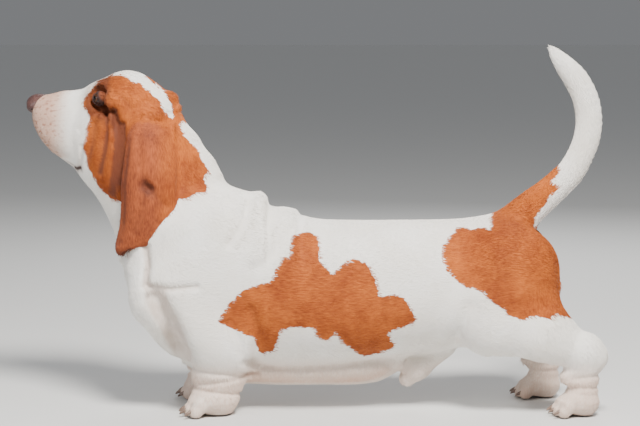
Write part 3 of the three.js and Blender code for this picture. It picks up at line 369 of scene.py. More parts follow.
head_parts = [
    (lambda p: mass(p, SKULL_TOP, SKULL_BOTTOM, SKULL_BREADTH, square=2.25), 1),
    (lambda p: mass(p, LIPS_TOP, LIPS_BOTTOM, LIPS_BREADTH, keel=-0.1, square=2.5), 12),
    muscle(18, (-366, 38, 480), (46, 23, 58), 8),
    muscle(18, (-345, 40, 440), (40, 22, 52), -12),
    muscle(14, (-352, 47, 538), (30, 15, 16), -12),
    muscle(9, (-380, 35, 561), (17, 12, 8), -40),
    muscle(14, (-256, 0, 541), (15, 13, 15)),
    muscle(14, (-290, 50, 508), (34, 14, 16), -18),
    bone(7, (-460, 0, 459), (-385, 0, 424), 15, 30, 1.15),
    bone(20, (-385, 0, 424), (-340, 0, 400), 30, 40, 1.1),
]
EYE_RADIUS = 11.5
EYE_CENTRE = Vector((-371, 40, 544))
eye_out = Vector((-0.52, 0.84, 0.12)).normalized()
eye_slant = (Vector((0.5, 0, -0.86)) + 0.36 * eye_out).normalized()
eye_across = eye_out.cross(eye_slant).normalized()
MOUTH_LINE = [(-480, 455), (-466, 441), (-449, 432.5), (-434, 426), (-418, 421), (-407, 424)]
HEAD_CREASES = [
    ([(-358, 528), (-352, 492), (-356, 452), (-366, 418)], 6, 5.5),
    ([(-342, 522), (-332, 482), (-335, 432), (-345, 384)], 8, 8.5),
    ([(-350, 498), (-344, 460), (-351, 412)], 4, -2.5),
    ([(-372, 520), (-392, 505), (-405, 490)], 5, 2.2),
    ([(-415, 424), (-404, 440), (-400, 462)], 4, 3),
    ([(-374, 500), (-380, 462), (-392, 430)], 6, 3.2),
    ([(-350, 562), (-330, 552), (-312, 530)], 6, 1.8),
    ([(-324, 500), (-322, 450), (-328, 400)], 6, 5),
]


def eye_frame(x, v, z):
    """Distances from the middle of an eye: outwards, along its slant and across its lids."""
    d = (x - EYE_CENTRE.x, v - EYE_CENTRE.y, z - EYE_CENTRE.z)
    return [sum(a * b for a, b in zip(d, axis)) for axis in (eye_out, eye_slant, eye_across)]


def head_field(p):
    v = np.abs(p[1])
    x, z = p[0], p[2]
    d = flesh([x, v, z], head_parts)
    out, along, across = eye_frame(x, v, z)
    from_eye = np.sqrt(out**2 + along**2 + across**2)
    near = from_eye < 60
    o, a, c, e, n = out[near], along[near], across[near], from_eye[near], d[near]
    socket = np.sqrt(((o - 3) / 15) ** 2 + (a / 24) ** 2 + ((c + 1) / 17) ** 2) - 1
    n = carve(n, socket * 12, 8)
    n = soften(n, e - EYE_RADIUS - 2.6, 5)
    slot = np.sqrt(((o - 12) / 10) ** 2 + ((a - 0.5) / 17) ** 2 + (c / 4.8) ** 2) - 1
    d[near] = carve(n, slot * 5, 1.2)
    mouth = np.hypot(line_distance(MOUTH_LINE, x, z), np.maximum(0, 30 - v) * 0.2) - 3.2
    d = np.where(v > 8, carve(d, mouth, 2), d)
    d += np.where(x < -470, 2.5 * np.exp(-((v / 3) ** 2)) * np.clip((530 - z) / 20, 0, 1), 0)
    return d + creases(HEAD_CREASES, x, z) * np.clip((v - 22) / 14, 0, 1)


EAR_FRONT = [
    (268, -322), (279, -336), (290, -341), (306, -337), (330, -330), (366, -326), (401, -325),
    (453, -318), (490, -313), (506, -307), (516, -293),
]
EAR_REAR = [
    (268, -326), (281, -314), (289, -290), (295, -257), (306, -239), (322, -230), (342, -227),
    (380, -228), (430, -230), (470, -237), (500, -247), (516, -263),
]
EAR_STAND = [
    (268, 64), (300, 76), (350, 86), (400, 89), (450, 87), (480, 81), (496, 71), (506, 60), (516, 42),
]
EAR_THICKNESS = 5.6
EAR_ROOT = 24
EAR_CREASES = [
    ([(-277, 398), (-271, 394)], 11, 7),
    ([(-271, 394), (-285, 350), (-301, 318)], 7, 2.6),
    ([(-271, 394), (-253, 372), (-241, 362)], 7, 2.4),
    ([(-277, 400), (-285, 440), (-289, 480)], 8, 2),
]


def ear_field(p):
    """A thin leather whose front edge rolls in towards the cheek to make a cup."""
    x, v, z = p[0], np.abs(p[1]), p[2]
    low, high = EAR_FRONT[0][0], EAR_FRONT[-1][0]
    level = np.clip(z, low, high)
    front, rear = curve(EAR_FRONT, level), curve(EAR_REAR, level)
    width = np.maximum(rear - front, 4)
    w = np.clip((x - front) / width, 0, 1)
    rolled = np.exp(-((w / 0.13) ** 2))
    dive = 18 + 20 * np.clip((z - 400) / 60, 0, 1)
    stand = curve(EAR_STAND, level) + 7 * np.sin(np.pi * w) - 13 * rolled - dive * w**4
    stand -= creases(EAR_CREASES, x, z)
    steep = 26 * (w / 0.13) * rolled / (0.13 * width)
    behind = np.clip((w - 0.5) / 0.3, 0, 1) * np.clip((z - 325) / 40, 0, 1)
    root = np.maximum(behind, np.clip((z - 462) / 30, 0, 1))
    off = v - stand
    leather = np.maximum(off, -off - EAR_ROOT * root) - 0.3 * steep
    sheet = leather / np.sqrt(1 + steep**2) - EAR_THICKNESS / 2
    front_slope = (curve(EAR_FRONT, level + 2) - curve(EAR_FRONT, level - 2)) / 4
    rear_slope = (curve(EAR_REAR, level + 2) - curve(EAR_REAR, level - 2)) / 4
    outline = np.maximum((front - x) / np.hypot(1, front_slope), (x - rear) / np.hypot(1, rear_slope))
    outline = np.maximum(outline, np.maximum(np.maximum(low - z, z - high), 16 - v))
    return -soften(-sheet, -outline, 3)


BODY_CREASES = [
    ([(-294, 292), (-290, 260), (-293, 228)], 7, 9),
    ([(-286, 229), (-250, 224), (-205, 228)], 6, 5),
    ([(-276, 208), (-254, 165), (-234, 108)], 16, 19),
    ([(-124, 96), (-98, 82), (-65, 76), (22, 80), (144, 93), (236, 108)], 8, 7),
    ([(-118, 366), (-128, 330), (-150, 300)], 8, 3.5),
    ([(-60, 352), (-84, 310), (-110, 280)], 13, -3.5),
    ([(-30, 340), (-62, 296), (-96, 262)], 10, 3),
    ([(-112, 100), (-100, 140), (-112, 190)], 9, 5),
    ([(-150, 168), (-136, 138), (-130, 112)], 8, 4),
    ([(236, 112), (250, 150), (262, 190)], 14, 5),
    ([(300, 104), (330, 96), (392, 94)], 7, 2),
]


def ring(z, level, width):
    return np.exp(-(((z - level) / width) ** 2))


def body_field(x, y, z):
    p = [x, y, z]
    d = trunk(p)
    for parts, box in limbs:
        d = soften(d, flesh(p, parts, box), 30)
    d = soften(d, flesh(p, tail_parts, (300, 500, -35, 35, 270, 640)), 22)
    near = (x < -60) & (z > 240)
    if near.any():
        q = [v[near] for v in p]
        neck = mass(q, NECK_BACK, NECK_FRONT, NECK_BREADTH, angle=-90, keel=0.42, square=2.1)
        front = soften(d[near], neck, 34)
        hx, hy = to_head(q[0], q[1])
        d[near] = soften(front, flesh([hx, hy, q[2]], [(head_field, 1)], (-505, -235, -75, 75, 390, 595)), 22)
    d += creases(BODY_CREASES, x, z) * np.clip((np.abs(y) - 24) / 20, 0, 1)
    tilt = 0.14 * (x + 180)
    ankles = 3.4 * ring(z + tilt, 79, 4.5) + 3 * ring(z - tilt, 60, 4) + 2.6 * ring(z + tilt, 44, 4)
    hocks = 2.6 * ring(z, 74 - (490 - x) * 0.12, 4.5) + 2.4 * ring(z, 52, 4)
    d += np.where((x < -100) & (z < 100), ankles, 0) + np.where((x > 360) & (z < 100), hocks, 0)
    near = (x < -190) & (z > 250)
    hx, hy = to_head(x[near], y[near])
    root = np.clip((z[near] - 470) / 30, 0, 1)
    blend = 3 + 9 * root + 6 * np.clip((hx + 268) / 24, 0, 1) * (1 - root)
    ears = flesh([hx, hy, z[near]], [(ear_field, 1)], (-346, -218, -106, 106, 266, 518))
    d[near] = soften(d[near], ears, blend)
    return d


def planes(*spans):
    """Rows of grid planes, closer together where the form is finer."""
    rows = [np.linspace(a, b, max(2, round((b - a) / step) + 1))[:-1] for a, b, step in spans]
    return np.concatenate(rows + [[spans[-1][1]]])


def net_surface(field, xs, ys, zs):
    """Meshes the zero of a field: a point in each grid box it crosses, joined into quads."""
    axes = (xs, ys, zs)
    shape = tuple(len(a) for a in axes)
    stride = 5
    block = [np.unique(np.arange(0, n + stride, stride).clip(0, n - 1)) for n in shape]
    coarse = np.meshgrid(*[a[b] for a, b in zip(axes, block)], indexing="ij")
    rough = field(*[c.ravel() for c in coarse]).reshape(coarse[0].shape)
    nearest = [np.minimum((np.arange(n) + stride // 2) // stride, len(b) - 1) for n, b in zip(shape, block)]
    values = rough[np.ix_(*nearest)]
    gap = [np.interp(np.arange(n), b, np.gradient(a[b])) for a, b, n in zip(axes, block, shape)]
    reach = np.sqrt(gap[0][:, None, None] ** 2 + gap[1][None, :, None] ** 2 + gap[2][None, None, :] ** 2)
    near = np.abs(values) < reach
    i, j, k = np.nonzero(near)
    values[near] = field(xs[i], ys[j], zs[k])
    inside = values < 0
    count = tuple(n - 1 for n in shape)
    total = np.zeros((count[0] * count[1] * count[2], 4))
    quads = []
    for axis in range(3):
        first = [slice(None)] * 3
        second = [slice(None)] * 3
        first[axis], second[axis] = slice(0, -1), slice(1, None)
        crossing = inside[tuple(first)] != inside[tuple(second)]
        index = list(np.nonzero(crossing))
        others = [a for a in range(3) if a != axis]
        kept = np.ones(len(index[0]), bool)
        for other in others:
            kept &= (index[other] > 0) & (index[other] < shape[other] - 1)
        index = [n[kept] for n in index]
        ahead = list(index)
        ahead[axis] = index[axis] + 1
        a, b = values[tuple(index)], values[tuple(ahead)]
        t = a / (a - b)
        point = [axes[n][index[n]].astype(float) for n in range(3)]
        point[axis] = point[axis] + t * (axes[axis][ahead[axis]] - axes[axis][index[axis]])
        corners = []
        for back_a, back_b in ((0, 0), (1, 0), (1, 1), (0, 1)):
            cell = list(index)
            cell[others[0]] = index[others[0]] - back_a
            cell[others[1]] = index[others[1]] - back_b
            flat = (cell[0] * count[1] + cell[1]) * count[2] + cell[2]
            corners.append(flat)
            for n in range(3):
                total[:, n] += np.bincount(flat, weights=point[n], minlength=len(total))
            total[:, 3] += np.bincount(flat, minlength=len(total))
        quad = np.stack(corners, 1)
        outward = (a < 0) == (axis != 1)
        quad[~outward] = quad[~outward][:, ::-1]
        quads.append(quad)
    used = np.nonzero(total[:, 3])[0]
    number = np.full(len(total), -1)
    number[used] = np.arange(len(used))
    points = total[used, :3] / total[used, 3:]
    return points, number[np.concatenate(quads)]


def settle(points, field, depth, passes=2):
    """Moves points onto the surface that lies depth inside the zero of a field."""
    for _ in range(passes):
        step = 0.5
        here = field(*points.T) + depth
        rise = [field(*(points + way).T) - field(*(points - way).T) for way in np.eye(3) * step]
        slope = np.stack(rise, 1) / (2 * step)
        size = np.maximum((slope**2).sum(1), 0.2)
        move = slope * (here / size)[:, None]
        points = points - np.clip(move, -1.5, 1.5)
    return points


def new_piece(name, points, faces, smooth=True):
    """A mesh object from points in millimetres."""
    mesh = bpy.data.meshes.new(name)
    faces = np.asarray(faces)
    mesh.vertices.add(len(points))
    mesh.vertices.foreach_set("co", (np.asarray(points) * MM).astype(np.float32).ravel())
    mesh.loops.add(faces.size)
    mesh.loops.foreach_set("vertex_index", faces.ravel().astype(np.int32))
    mesh.polygons.add(len(faces))
    mesh.polygons.foreach_set("loop_start", np.arange(len(faces), dtype=np.int32) * faces.shape[1])
    mesh.update(calc_edges=True)
    mesh.validate()
    mesh.polygons.foreach_set("use_smooth", np.full(len(mesh.polygons), smooth))
    return placed(name, mesh)


def points_of(piece):
    flat = np.empty(len(piece.data.vertices) * 3, np.float32)
    piece.data.vertices.foreach_get("co", flat)
    return flat.reshape(-1, 3).astype(float) / MM


def write_values(mesh, name, values):
    """Keeps a number or a direction at each point of a mesh."""
    values = np.asarray(values, np.float32)
    is_vector = values.ndim == 2 and values.shape[1] == 3
    kind, word = ("FLOAT_VECTOR", "vector") if is_vector else ("FLOAT", "value")
    mesh.attributes.new(name, kind, "POINT").data.foreach_set(word, values.ravel())


COAT_DEPTH = 0.9
points, quads = net_surface(
    lambda x, y, z: body_field(x, y, z) + COAT_DEPTH,
    planes((-514, -215, 1.9), (-215, -120, 3.5), (-120, 350, 5.5), (350, 518, 3.5)),
    planes((-128, -112, 4), (-112, 112, 2.0), (112, 128, 4)),
    planes((-20, 60, 2.4), (60, 258, 5), (258, 600, 1.9), (600, 640, 3.5)),
)
skin = new_piece("skin", points, quads)
points = settle(points_of(skin), body_field, COAT_DEPTH)
points[:, 2] = np.maximum(points[:, 2], 0.2)
skin.data.vertices.foreach_set("co", (points * MM).astype(np.float32).ravel())

SKIN_FACES = 185000
thinning = skin.modifiers.new("thinning", "DECIMATE")
thinning.ratio = SKIN_FACES / (2 * len(skin.data.polygons))
thinned = bpy.data.meshes.new_from_object(skin.evaluated_get(bpy.context.evaluated_depsgraph_get()))
skin.modifiers.clear()
skin.data = thinned
thinned.name = "skin"
for polygon in thinned.polygons:
    polygon.use_smooth = True
points = points_of(skin)
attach(skin, "root")
FLESH = ["head", "neck", "torso", "rump", "tail_base", "tail_tip", "ear_left", "ear_right"]
LEG_PARTS = ("foreleg", "forepaw", "thigh", "hindleg", "hindpaw")
FLESH += [f"{part}_{side}" for part in LEG_PARTS for side in SIDES]
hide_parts(*FLESH)


# Coat markings. Red patches with ragged edges lie on white: a mask over both sides of the
# head with a blaze between, a patch on the ribs and one over the rump and tail root. Each
# outline is seen in the photograph, and how far a place lies inside one is kept on the skin
# as "red", in millimetres, so that the material can draw the edge finer than the mesh. The
# far side is not seen: its head and rump are mirrored, its rib patch turned end for end.
FACE_PATCH = [
    (97, 81), (84, 97), (83, 106), (89, 119), (86, 132), (83, 146), (88, 168), (99, 187), (110, 198),
    (124, 203), (150, 212), (168, 216), (172, 208), (180, 200), (196, 194), (206, 191), (208, 185),
    (202, 178), (209, 172), (201, 159), (197, 148), (185, 138), (178, 124), (182, 117), (170, 118),
    (163, 110), (158, 100), (150, 92), (140, 84), (132, 81), (122, 75), (112, 75),
]
RIB_PATCH = [
    (217, 321), (228, 305), (245, 288), (271, 281), (281, 259), (290, 255), (291, 236), (308, 231),
    (317, 236), (320, 262), (333, 275), (338, 267), (353, 258), (366, 263), (375, 277), (379, 300),
    (392, 293), (407, 300), (416, 321), (386, 333), (394, 345), (384, 352), (361, 356), (351, 349),
    (341, 343), (334, 333), (325, 342), (316, 337), (312, 327), (284, 326), (278, 334), (274, 352),
    (260, 353), (254, 338), (234, 329),
]
RUMP_PATCH = [
    (490, 210), (489, 230), (480, 227), (472, 231), (460, 226), (451, 233), (442, 245), (441, 255),
    (448, 271), (461, 284), (480, 291), (489, 302), (501, 307), (506, 314), (521, 320), (538, 315),
    (549, 319), (557, 313), (566, 316), (610, 322), (600, 232), (550, 228), (533, 226), (536, 214),
    (543, 207), (547, 198), (559, 190), (549, 184), (559, 172), (548, 160), (500, 196),
]
FAR_CROWN = [
    (138, 60), (143, 75), (155, 83), (163, 91), (168, 102), (170, 116), (178, 122), (200, 140),
    (220, 60),
]
FAR_SIDE_MIDDLE = 330
MM_PER_PIXEL = 1.7


def inside_patch(outline, u, v):
    """How far places lie inside an outline, in millimetres, negative outside it."""
    closed = outline + outline[:1]
    least = line_distance(closed, u, v)
    within = np.zeros(u.shape, bool)
    for (ax, ay), (bx, by) in zip(closed, closed[1:]):
        if ay != by:
            within ^= ((ay > v) != (by > v)) & (u < (bx - ax) * (v - ay) / (by - ay) + ax)
    return np.where(within, least, -least) * MM_PER_PIXEL


def ramp(low, high, at):
    """Rises smoothly from 0 at low to 1 at high."""
    t = np.clip((at - low) / (high - low), 0, 1)
    return t * t * (3 - 2 * t)


x, y, z = points.T
hx, hy = to_head(x, y)
near_x, near_y = from_head(hx, -np.abs(hy))
on_head = (x < -205) & (z > 395)
u_head, v_head = photo_place(np.where(on_head, near_x, x), np.where(on_head, near_y, -np.abs(y)), z)
u_near, v_near = photo_place(x, -np.abs(y), z)
red = inside_patch(FACE_PATCH, u_head, v_head)
u_seen, v_seen = photo_place(x, y, z)
beyond_blaze = inside_patch(FAR_CROWN, u_seen, v_seen)
red = np.where(on_head & (hx < -345), red - 14 * ramp(13, 3, np.abs(hy)), red)
red = np.where(on_head & (hy > -25) & (z > 505) & (hx > -352), np.maximum(red, beyond_blaze), red)
red = np.maximum(red, inside_patch(RUMP_PATCH, u_near, v_near))
u_rib = np.where(y < 0, u_near, 2 * FAR_SIDE_MIDDLE - u_near)
red = np.maximum(red, inside_patch(RIB_PATCH, u_rib, v_near) - 200 * ramp(-12, 0, 30 - np.abs(y)))
ear = ramp(2.5, 0.5, np.where((x < -190) & (z > 250), ear_field([hx, hy, z]), 99))
red = np.maximum(red, 40 * (ear - 0.5))
out, along, across = eye_frame(hx, np.abs(hy), z)
eye_reach = np.sqrt(out**2 + along**2 + across**2)
round_slit = np.sqrt((along / 19) ** 2 + ((across + 0.5) / 7) ** 2)
rim = ramp(1.5, 1.15, round_slit) * ramp(34, 26, eye_reach) * (out > -4)
lip = line_distance(MOUTH_LINE, hx, z)
rim = np.maximum(rim, ramp(5.0, 1.5, lip) * (np.abs(hy) > 12) * (x < -380) * ramp(-470, -440, hx))
# Painted shade, kept on the skin as "shade": the coat darkens in the head's creases, round the deep-set eyes,
# on the cheek in the gap before each ear's front edge, in the ear's folds and behind its rolled front edge,
# and in the folds of the trunk and legs. The same values are also darker along the mouth line, at the
# sheath's opening and towards the ear tips.
shade = np.clip(creases(HEAD_CREASES, hx, z) / 5.5, 0, 1) * (np.abs(hy) > 20) * (x < -205)
# Painted shade round the deep-set eyes.
round_lids = np.sqrt(((along + 4) / 27) ** 2 + ((across + 2) / 15) ** 2)
shade = np.maximum(shade, 0.8 * ramp(2.5, 1.2, round_lids) * (eye_reach < 60))
behind_edge = hx - curve(EAR_FRONT, np.clip(z, 268, 516))
# Painted shadow on the cheek in the gap before each ear's front edge.
ear_edge_shadow = 0.9 * ramp(17, 2, np.abs(behind_edge + 3)) * ramp(500, 470, z)
shade = np.maximum(shade, ear_edge_shadow * (1 - ear) * on_head)
shade = np.maximum(shade, np.clip(creases(EAR_CREASES, hx, z) / 8, 0, 1) * ear)
# Painted shadow behind the ear's rolled front edge; the ear tips are also darker.
rolled_edge_shadow = np.exp(-(((behind_edge - 12) / 4.5) ** 2)) * ramp(300, 340, z) * ramp(500, 460, z)
shade = np.maximum(shade, ear * np.maximum(ramp(298, 274, z), 0.75 * rolled_edge_shadow))
# Painted shade in the folds of the trunk and legs.
trunk_fold_shade = np.clip(creases(BODY_CREASES, x, z) / 9, 0, 0.75) * ramp(24, 44, np.abs(y))
trunk_fold_shade *= np.maximum(0.6, np.maximum(ramp(-130, -170, x), ramp(310, 350, x)))
shade = np.maximum(shade, trunk_fold_shade * (1 - ear))
shade = np.maximum(shade, 0.9 * ramp(17, 5, np.hypot(np.hypot(x - 160, y), z - 52)))
shade = np.maximum(shade, 0.5 * ramp(14, 4, lip) * (hx < -395) * (x < -300))
muzzle = ramp(-424, -468, hx) * (z > 440)
low_leg = ramp(110, 55, z) * ramp(25, 40, np.abs(y))
pad = ramp(4, 1, z)
belly = ramp(110, 60, z) * ramp(60, 20, np.abs(y)) * (x > -200)
stain = np.clip(0.75 * low_leg + 0.5 * belly + 0.95 * muzzle, 0, 1)

# Lie of the coat, for the tufts: back along the head, neck and trunk, down the ears,
# chest and legs, forward over the toes and out along the tail.
skin.data.update()
flat = np.empty(len(points) * 3, np.float32)
skin.data.vertices.foreach_get("normal", flat)
normals = flat.reshape(-1, 3).astype(float)
on_leg = ramp(130, 90, z) * ramp(28, 42, np.abs(y))
on_paw = ramp(34, 22, z) * on_leg
on_tail = ramp(0, 26, (x - 352) * 0.76 + (z - 345) * 0.65)
on_neck = ramp(-120, -190, x) * ramp(230, 330, z)
on_chest = ramp(-200, -290, x) * ramp(330, 260, z)
on_face = ramp(-350, -410, x) * (z > 420)
on_thigh = ramp(300, 380, x) * ramp(300, 200, z)
tail_way = np.array([(b[0] - a[0], b[1] - a[1]) for a, b in zip(TAIL_LINE, TAIL_LINE[1:])], float)
nearest = np.argmin([np.hypot(x - a[0], z - a[1]) for a in TAIL_LINE[:-1]], 0)
tail_lie = np.stack([tail_way[nearest, 0], np.zeros_like(x), tail_way[nearest, 1]], 1)
tail_lie /= np.linalg.norm(tail_lie, axis=1, keepdims=True)
lie = np.stack([np.ones_like(x), np.zeros_like(x), np.full_like(x, -0.25)], 1)
for weight, way in (
    (on_thigh, (0.6, 0, -0.8)),
    (on_neck, (0.65, 0, -0.75)),
    (on_chest, (0.2, 0, -1)),
    (on_face, (0.97, -0.17, -0.15)),
    (on_leg, (0.15, 0, -1)),
    (on_paw, (-1, 0, -0.25)),
    (ear, (-0.05, 0, -1)),
    (on_tail, tail_lie),
):
    lie = lie * (1 - weight[:, None]) + weight[:, None] * np.asarray(way, float)
lie -= normals * (lie * normals).sum(1, keepdims=True)
lie /= np.maximum(np.linalg.norm(lie, axis=1, keepdims=True), 1e-6)
hair = 8.0 - 3.4 * ramp(-330, -420, x) * (z > 400) - 3.0 * ear - 3.5 * on_paw + 2 * on_tail
hair += 3 * ramp(370, 420, x) * ramp(120, 200, z) * (1 - on_tail)
ear_tone = ear * (1 - 0.85 * ramp(-268, -238, hx) * ramp(320, 350, z))
marks = {"red": red, "ear": ear_tone, "rim": rim, "shade": shade, "stain": stain}
marks.update({"muzzle": muzzle, "pad": pad, "hair": hair, "lie": lie})
for name, values in marks.items():
    write_values(skin.data, name, values)


# Coat material. Matt short hair: white that is warm on the legs, belly and muzzle, and
# red that runs from orange to brown, with fine streaks and a soft nap.
def new_material(name):
    made = bpy.data.materials.new(name)
    made.use_nodes = True
    return made, made.node_tree, made.node_tree.nodes["Principled BSDF"]


def node(tree, kind, settings=(), **inputs):
    """Adds a shader node; inputs are values or other nodes' outputs."""
    made = tree.nodes.new(kind)
    for key, value in dict(settings).items():
        setattr(made, key, value)
    for key, value in inputs.items():
        numbered = key[0] == "i" and key[1:].isdigit()
        socket = made.inputs[int(key[1:]) if numbered else key.replace("_", " ")]
        if isinstance(value, bpy.types.NodeSocket):
            tree.links.new(value, socket)
        else:
            socket.default_value = value
    return made


def set_finish(shader, **values):
    """Sets constant values on a shader's sockets."""
    for key, value in values.items():
        shader.inputs[key.replace("_", " ")].default_value = value


def attribute(tree, name):
    return node(tree, "ShaderNodeAttribute", {"attribute_name": name}).outputs["Fac"]


def maths(tree, operation, a, b=0.0, c=0.0):
    return node(tree, "ShaderNodeMath", {"operation": operation}, i0=a, i1=b, i2=c).outputs[0]


def blend_colours(tree, share, a, b, mode="MIX"):
    made = tree.nodes.new("ShaderNodeMix")
    made.data_type = "RGBA"
    made.blend_type = mode
    for index, value in ((0, share), (6, a), (7, b)):
        if isinstance(value, bpy.types.NodeSocket):
            tree.links.new(value, made.inputs[index])
        else:
            made.inputs[index].default_value = value
    return made.outputs[2]


def noise(tree, scale, detail=3.0, stretch=(1, 1, 1)):
    """Noise of about -0.5 to 0.5 on the object's own coordinates."""
    place = node(tree, "ShaderNodeTexCoord").outputs["Object"]
    spread = node(tree, "ShaderNodeMapping", Vector=place, Scale=stretch).outputs[0]
    made = node(tree, "ShaderNodeTexNoise", Vector=spread, Scale=scale, Detail=detail)
    return maths(tree, "SUBTRACT", made.outputs[0], 0.5)


def ramped(tree, value, low, high):
    made = node(tree, "ShaderNodeMapRange", {"interpolation_type": "SMOOTHSTEP"}, i0=value, i1=low, i2=high)
    return made.outputs[0]


coat, tree, shader = new_material("coat")
edge = maths(tree, "MULTIPLY_ADD", noise(tree, 60, 2), 9.0, attribute(tree, "red"))
edge = maths(tree, "MULTIPLY_ADD", noise(tree, 230, 3, (0.45, 1, 1)), 9.0, edge)
is_red = ramped(tree, edge, -0.8, 0.8)
streak_along = noise(tree, 520, 3, (0.18, 1, 1))
streak_down = noise(tree, 520, 3, (1, 1, 0.18))
cloud = noise(tree, 14, 3)
lie_read = node(tree, "ShaderNodeAttribute", {"attribute_name": "lie"})
laid = node(tree, "ShaderNodeSeparateXYZ", Vector=lie_read.outputs["Vector"])
hangs = ramped(tree, maths(tree, "ABSOLUTE", laid.outputs["Z"]), 0.55, 0.85)
streak = node(tree, "ShaderNodeMix", i0=hangs, i2=streak_along, i3=streak_down).outputs[0]
blotch = maths(tree, "MULTIPLY_ADD", noise(tree, 45, 2), 0.5, cloud)
depth_share = ramped(tree, maths(tree, "MULTIPLY_ADD", streak, 0.9, blotch), -0.42, 0.5)
red_colour = blend_colours(tree, depth_share, (0.22, 0.038, 0.004, 1), (0.53, 0.132, 0.016, 1))
ear_colour = blend_colours(tree, depth_share, (0.14, 0.026, 0.009, 1), (0.42, 0.098, 0.026, 1))
red_colour = blend_colours(tree, attribute(tree, "ear"), red_colour, ear_colour)
paleness = ramped(tree, cloud, -0.3, 0.4)
white_colour = blend_colours(tree, paleness, (0.80, 0.76, 0.70, 1), (0.88, 0.86, 0.83, 1))
uneven = ramped(tree, maths(tree, "ADD", cloud, streak_down), -0.75, 0.15)
stain_share = maths(tree, "MULTIPLY", attribute(tree, "stain"), uneven)
white_colour = blend_colours(tree, stain_share, white_colour, (0.64, 0.44, 0.34, 1))
muzzle_share = maths(tree, "MULTIPLY", attribute(tree, "muzzle"), 0.6)
white_colour = blend_colours(tree, muzzle_share, white_colour, (0.50, 0.29, 0.21, 1))
freckles = ramped(tree, noise(tree, 160, 2, (0.5, 1, 1)), 0.02, 0.2)
freckles = maths(tree, "MULTIPLY", freckles, attribute(tree, "muzzle"))
white_colour = blend_colours(tree, freckles, white_colour, (0.38, 0.19, 0.13, 1))
# Painted shade: where the skin's "shade" attribute is high, with a little noise, the red darkens towards dark
# brown and the white towards grey-brown.
painted_shade_share = maths(tree, "MULTIPLY_ADD", noise(tree, 90, 2, (1, 1, 0.4)), 0.5, attribute(tree, "shade"))
painted_shade_share = maths(tree, "MULTIPLY", ramped(tree, painted_shade_share, 0.08, 1.0), 0.85)
red_colour = blend_colours(tree, painted_shade_share, red_colour, (0.10, 0.025, 0.012, 1))
white_painted_shade = maths(tree, "MULTIPLY", painted_shade_share, 0.7)
white_colour = blend_colours(tree, white_painted_shade, white_colour, (0.45, 0.32, 0.25, 1))
colour = blend_colours(tree, is_red, white_colour, red_colour)
colour = blend_colours(tree, attribute(tree, "rim"), colour, (0.045, 0.018, 0.014, 1))
colour = blend_colours(tree, attribute(tree, "pad"), colour, (0.06, 0.04, 0.035, 1))
tree.links.new(colour, shader.inputs["Base Color"])
set_finish(shader, Roughness=0.72, Specular_IOR_Level=0.25, Sheen_Weight=0.05, Sheen_Roughness=0.5)
height = maths(tree, "MULTIPLY_ADD", noise(tree, 70, 2), 1.5, maths(tree, "MULTIPLY", streak, 1.3))
bump = node(tree, "ShaderNodeBump", Strength=0.55, Distance=0.0009, Height=height)
tree.links.new(bump.outputs[0], shader.inputs["Normal"])
skin.data.materials.append(coat)


# Eyes. Wet brown balls deep under the lids, with a dark pupil, the sclera only at the edge
# and painted near-black as shade from the brow, and a low bulge over the iris where the cornea lies.
eye_material, tree, shader = new_material("eye")
away = attribute(tree, "from_pupil")
ball = blend_colours(tree, ramped(tree, away, 0.30, 0.34), (0.003, 0.002, 0.002, 1), (0.035, 0.012, 0.005, 1))
fibres = ramped(tree, noise(tree, 700, 3), -0.3, 0.4)
ball = blend_colours(tree, fibres, ball, (0.03, 0.01, 0.004, 1), "MULTIPLY")
ball = blend_colours(tree, ramped(tree, away, 0.30, 0.5), ball, (0.06, 0.02, 0.007, 1))
ball = blend_colours(tree, ramped(tree, away, 0.62, 0.68), ball, (0.012, 0.005, 0.003, 1))
# Painted shade: the sclera at the edge is near-black brown, as if shaded by the brow.
ball = blend_colours(tree, ramped(tree, away, 0.72, 0.84), ball, (0.04, 0.02, 0.017, 1))
tree.links.new(ball, shader.inputs["Base Color"])
set_finish(shader, Roughness=0.12, Specular_IOR_Level=0.25, Coat_Weight=0.15, Coat_Roughness=0.03)


def sphere_grid(rings, sides):
    """Points and quads of a unit ball about +Z, with a small ring left open at each pole."""
    rows = [0.02] + [math.pi * (i + 0.5) / rings for i in range(rings)] + [math.pi - 0.02]
    turns = [2 * math.pi * j / sides for j in range(sides)]
    places = [
        (math.sin(a) * math.cos(b), math.sin(a) * math.sin(b), math.cos(a))
        for a in rows
        for b in turns
    ]
    quads = [
        (i * sides + j, (i + 1) * sides + j, (i + 1) * sides + (j + 1) % sides, i * sides + (j + 1) % sides)
        for i in range(len(rows) - 1)
        for j in range(sides)
    ]
    return np.array(places), quads


EYE_SIDES = 40
GAZE = Vector((-0.62, 0.77, 0.1)).normalized()
for name, side in SIDES.items():
    unit, quads = sphere_grid(28, EYE_SIDES)
    turn = np.array(Vector((GAZE.x, GAZE.y * side, GAZE.z)).to_track_quat("Z", "Y").to_matrix())
    from_pupil = np.arccos(np.clip(unit[:, 2], -1, 1))
    radius = (EYE_RADIUS - 0.15) * (1 + 0.035 * ramp(0.75, 0.0, from_pupil))
    local = (unit * radius[:, None]) @ turn.T + np.array([EYE_CENTRE.x, EYE_CENTRE.y * side, EYE_CENTRE.z])
    local[:, 0], local[:, 1] = from_head(local[:, 0], local[:, 1])
    mesh = bpy.data.meshes.new(f"eyeball_{name}")
    caps = [tuple(range(EYE_SIDES)), tuple(reversed(range(len(unit) - EYE_SIDES, len(unit))))]
    mesh.from_pydata([tuple(p * MM) for p in local], [], quads + caps)
    write_values(mesh, "from_pupil", from_pupil)
    for polygon in mesh.polygons:
        polygon.use_smooth = True
    eyeball = placed(f"eyeball_{name}", mesh)
    mesh.materials.append(eye_material)
    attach(eyeball, "root")
    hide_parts(f"eye_{name}")


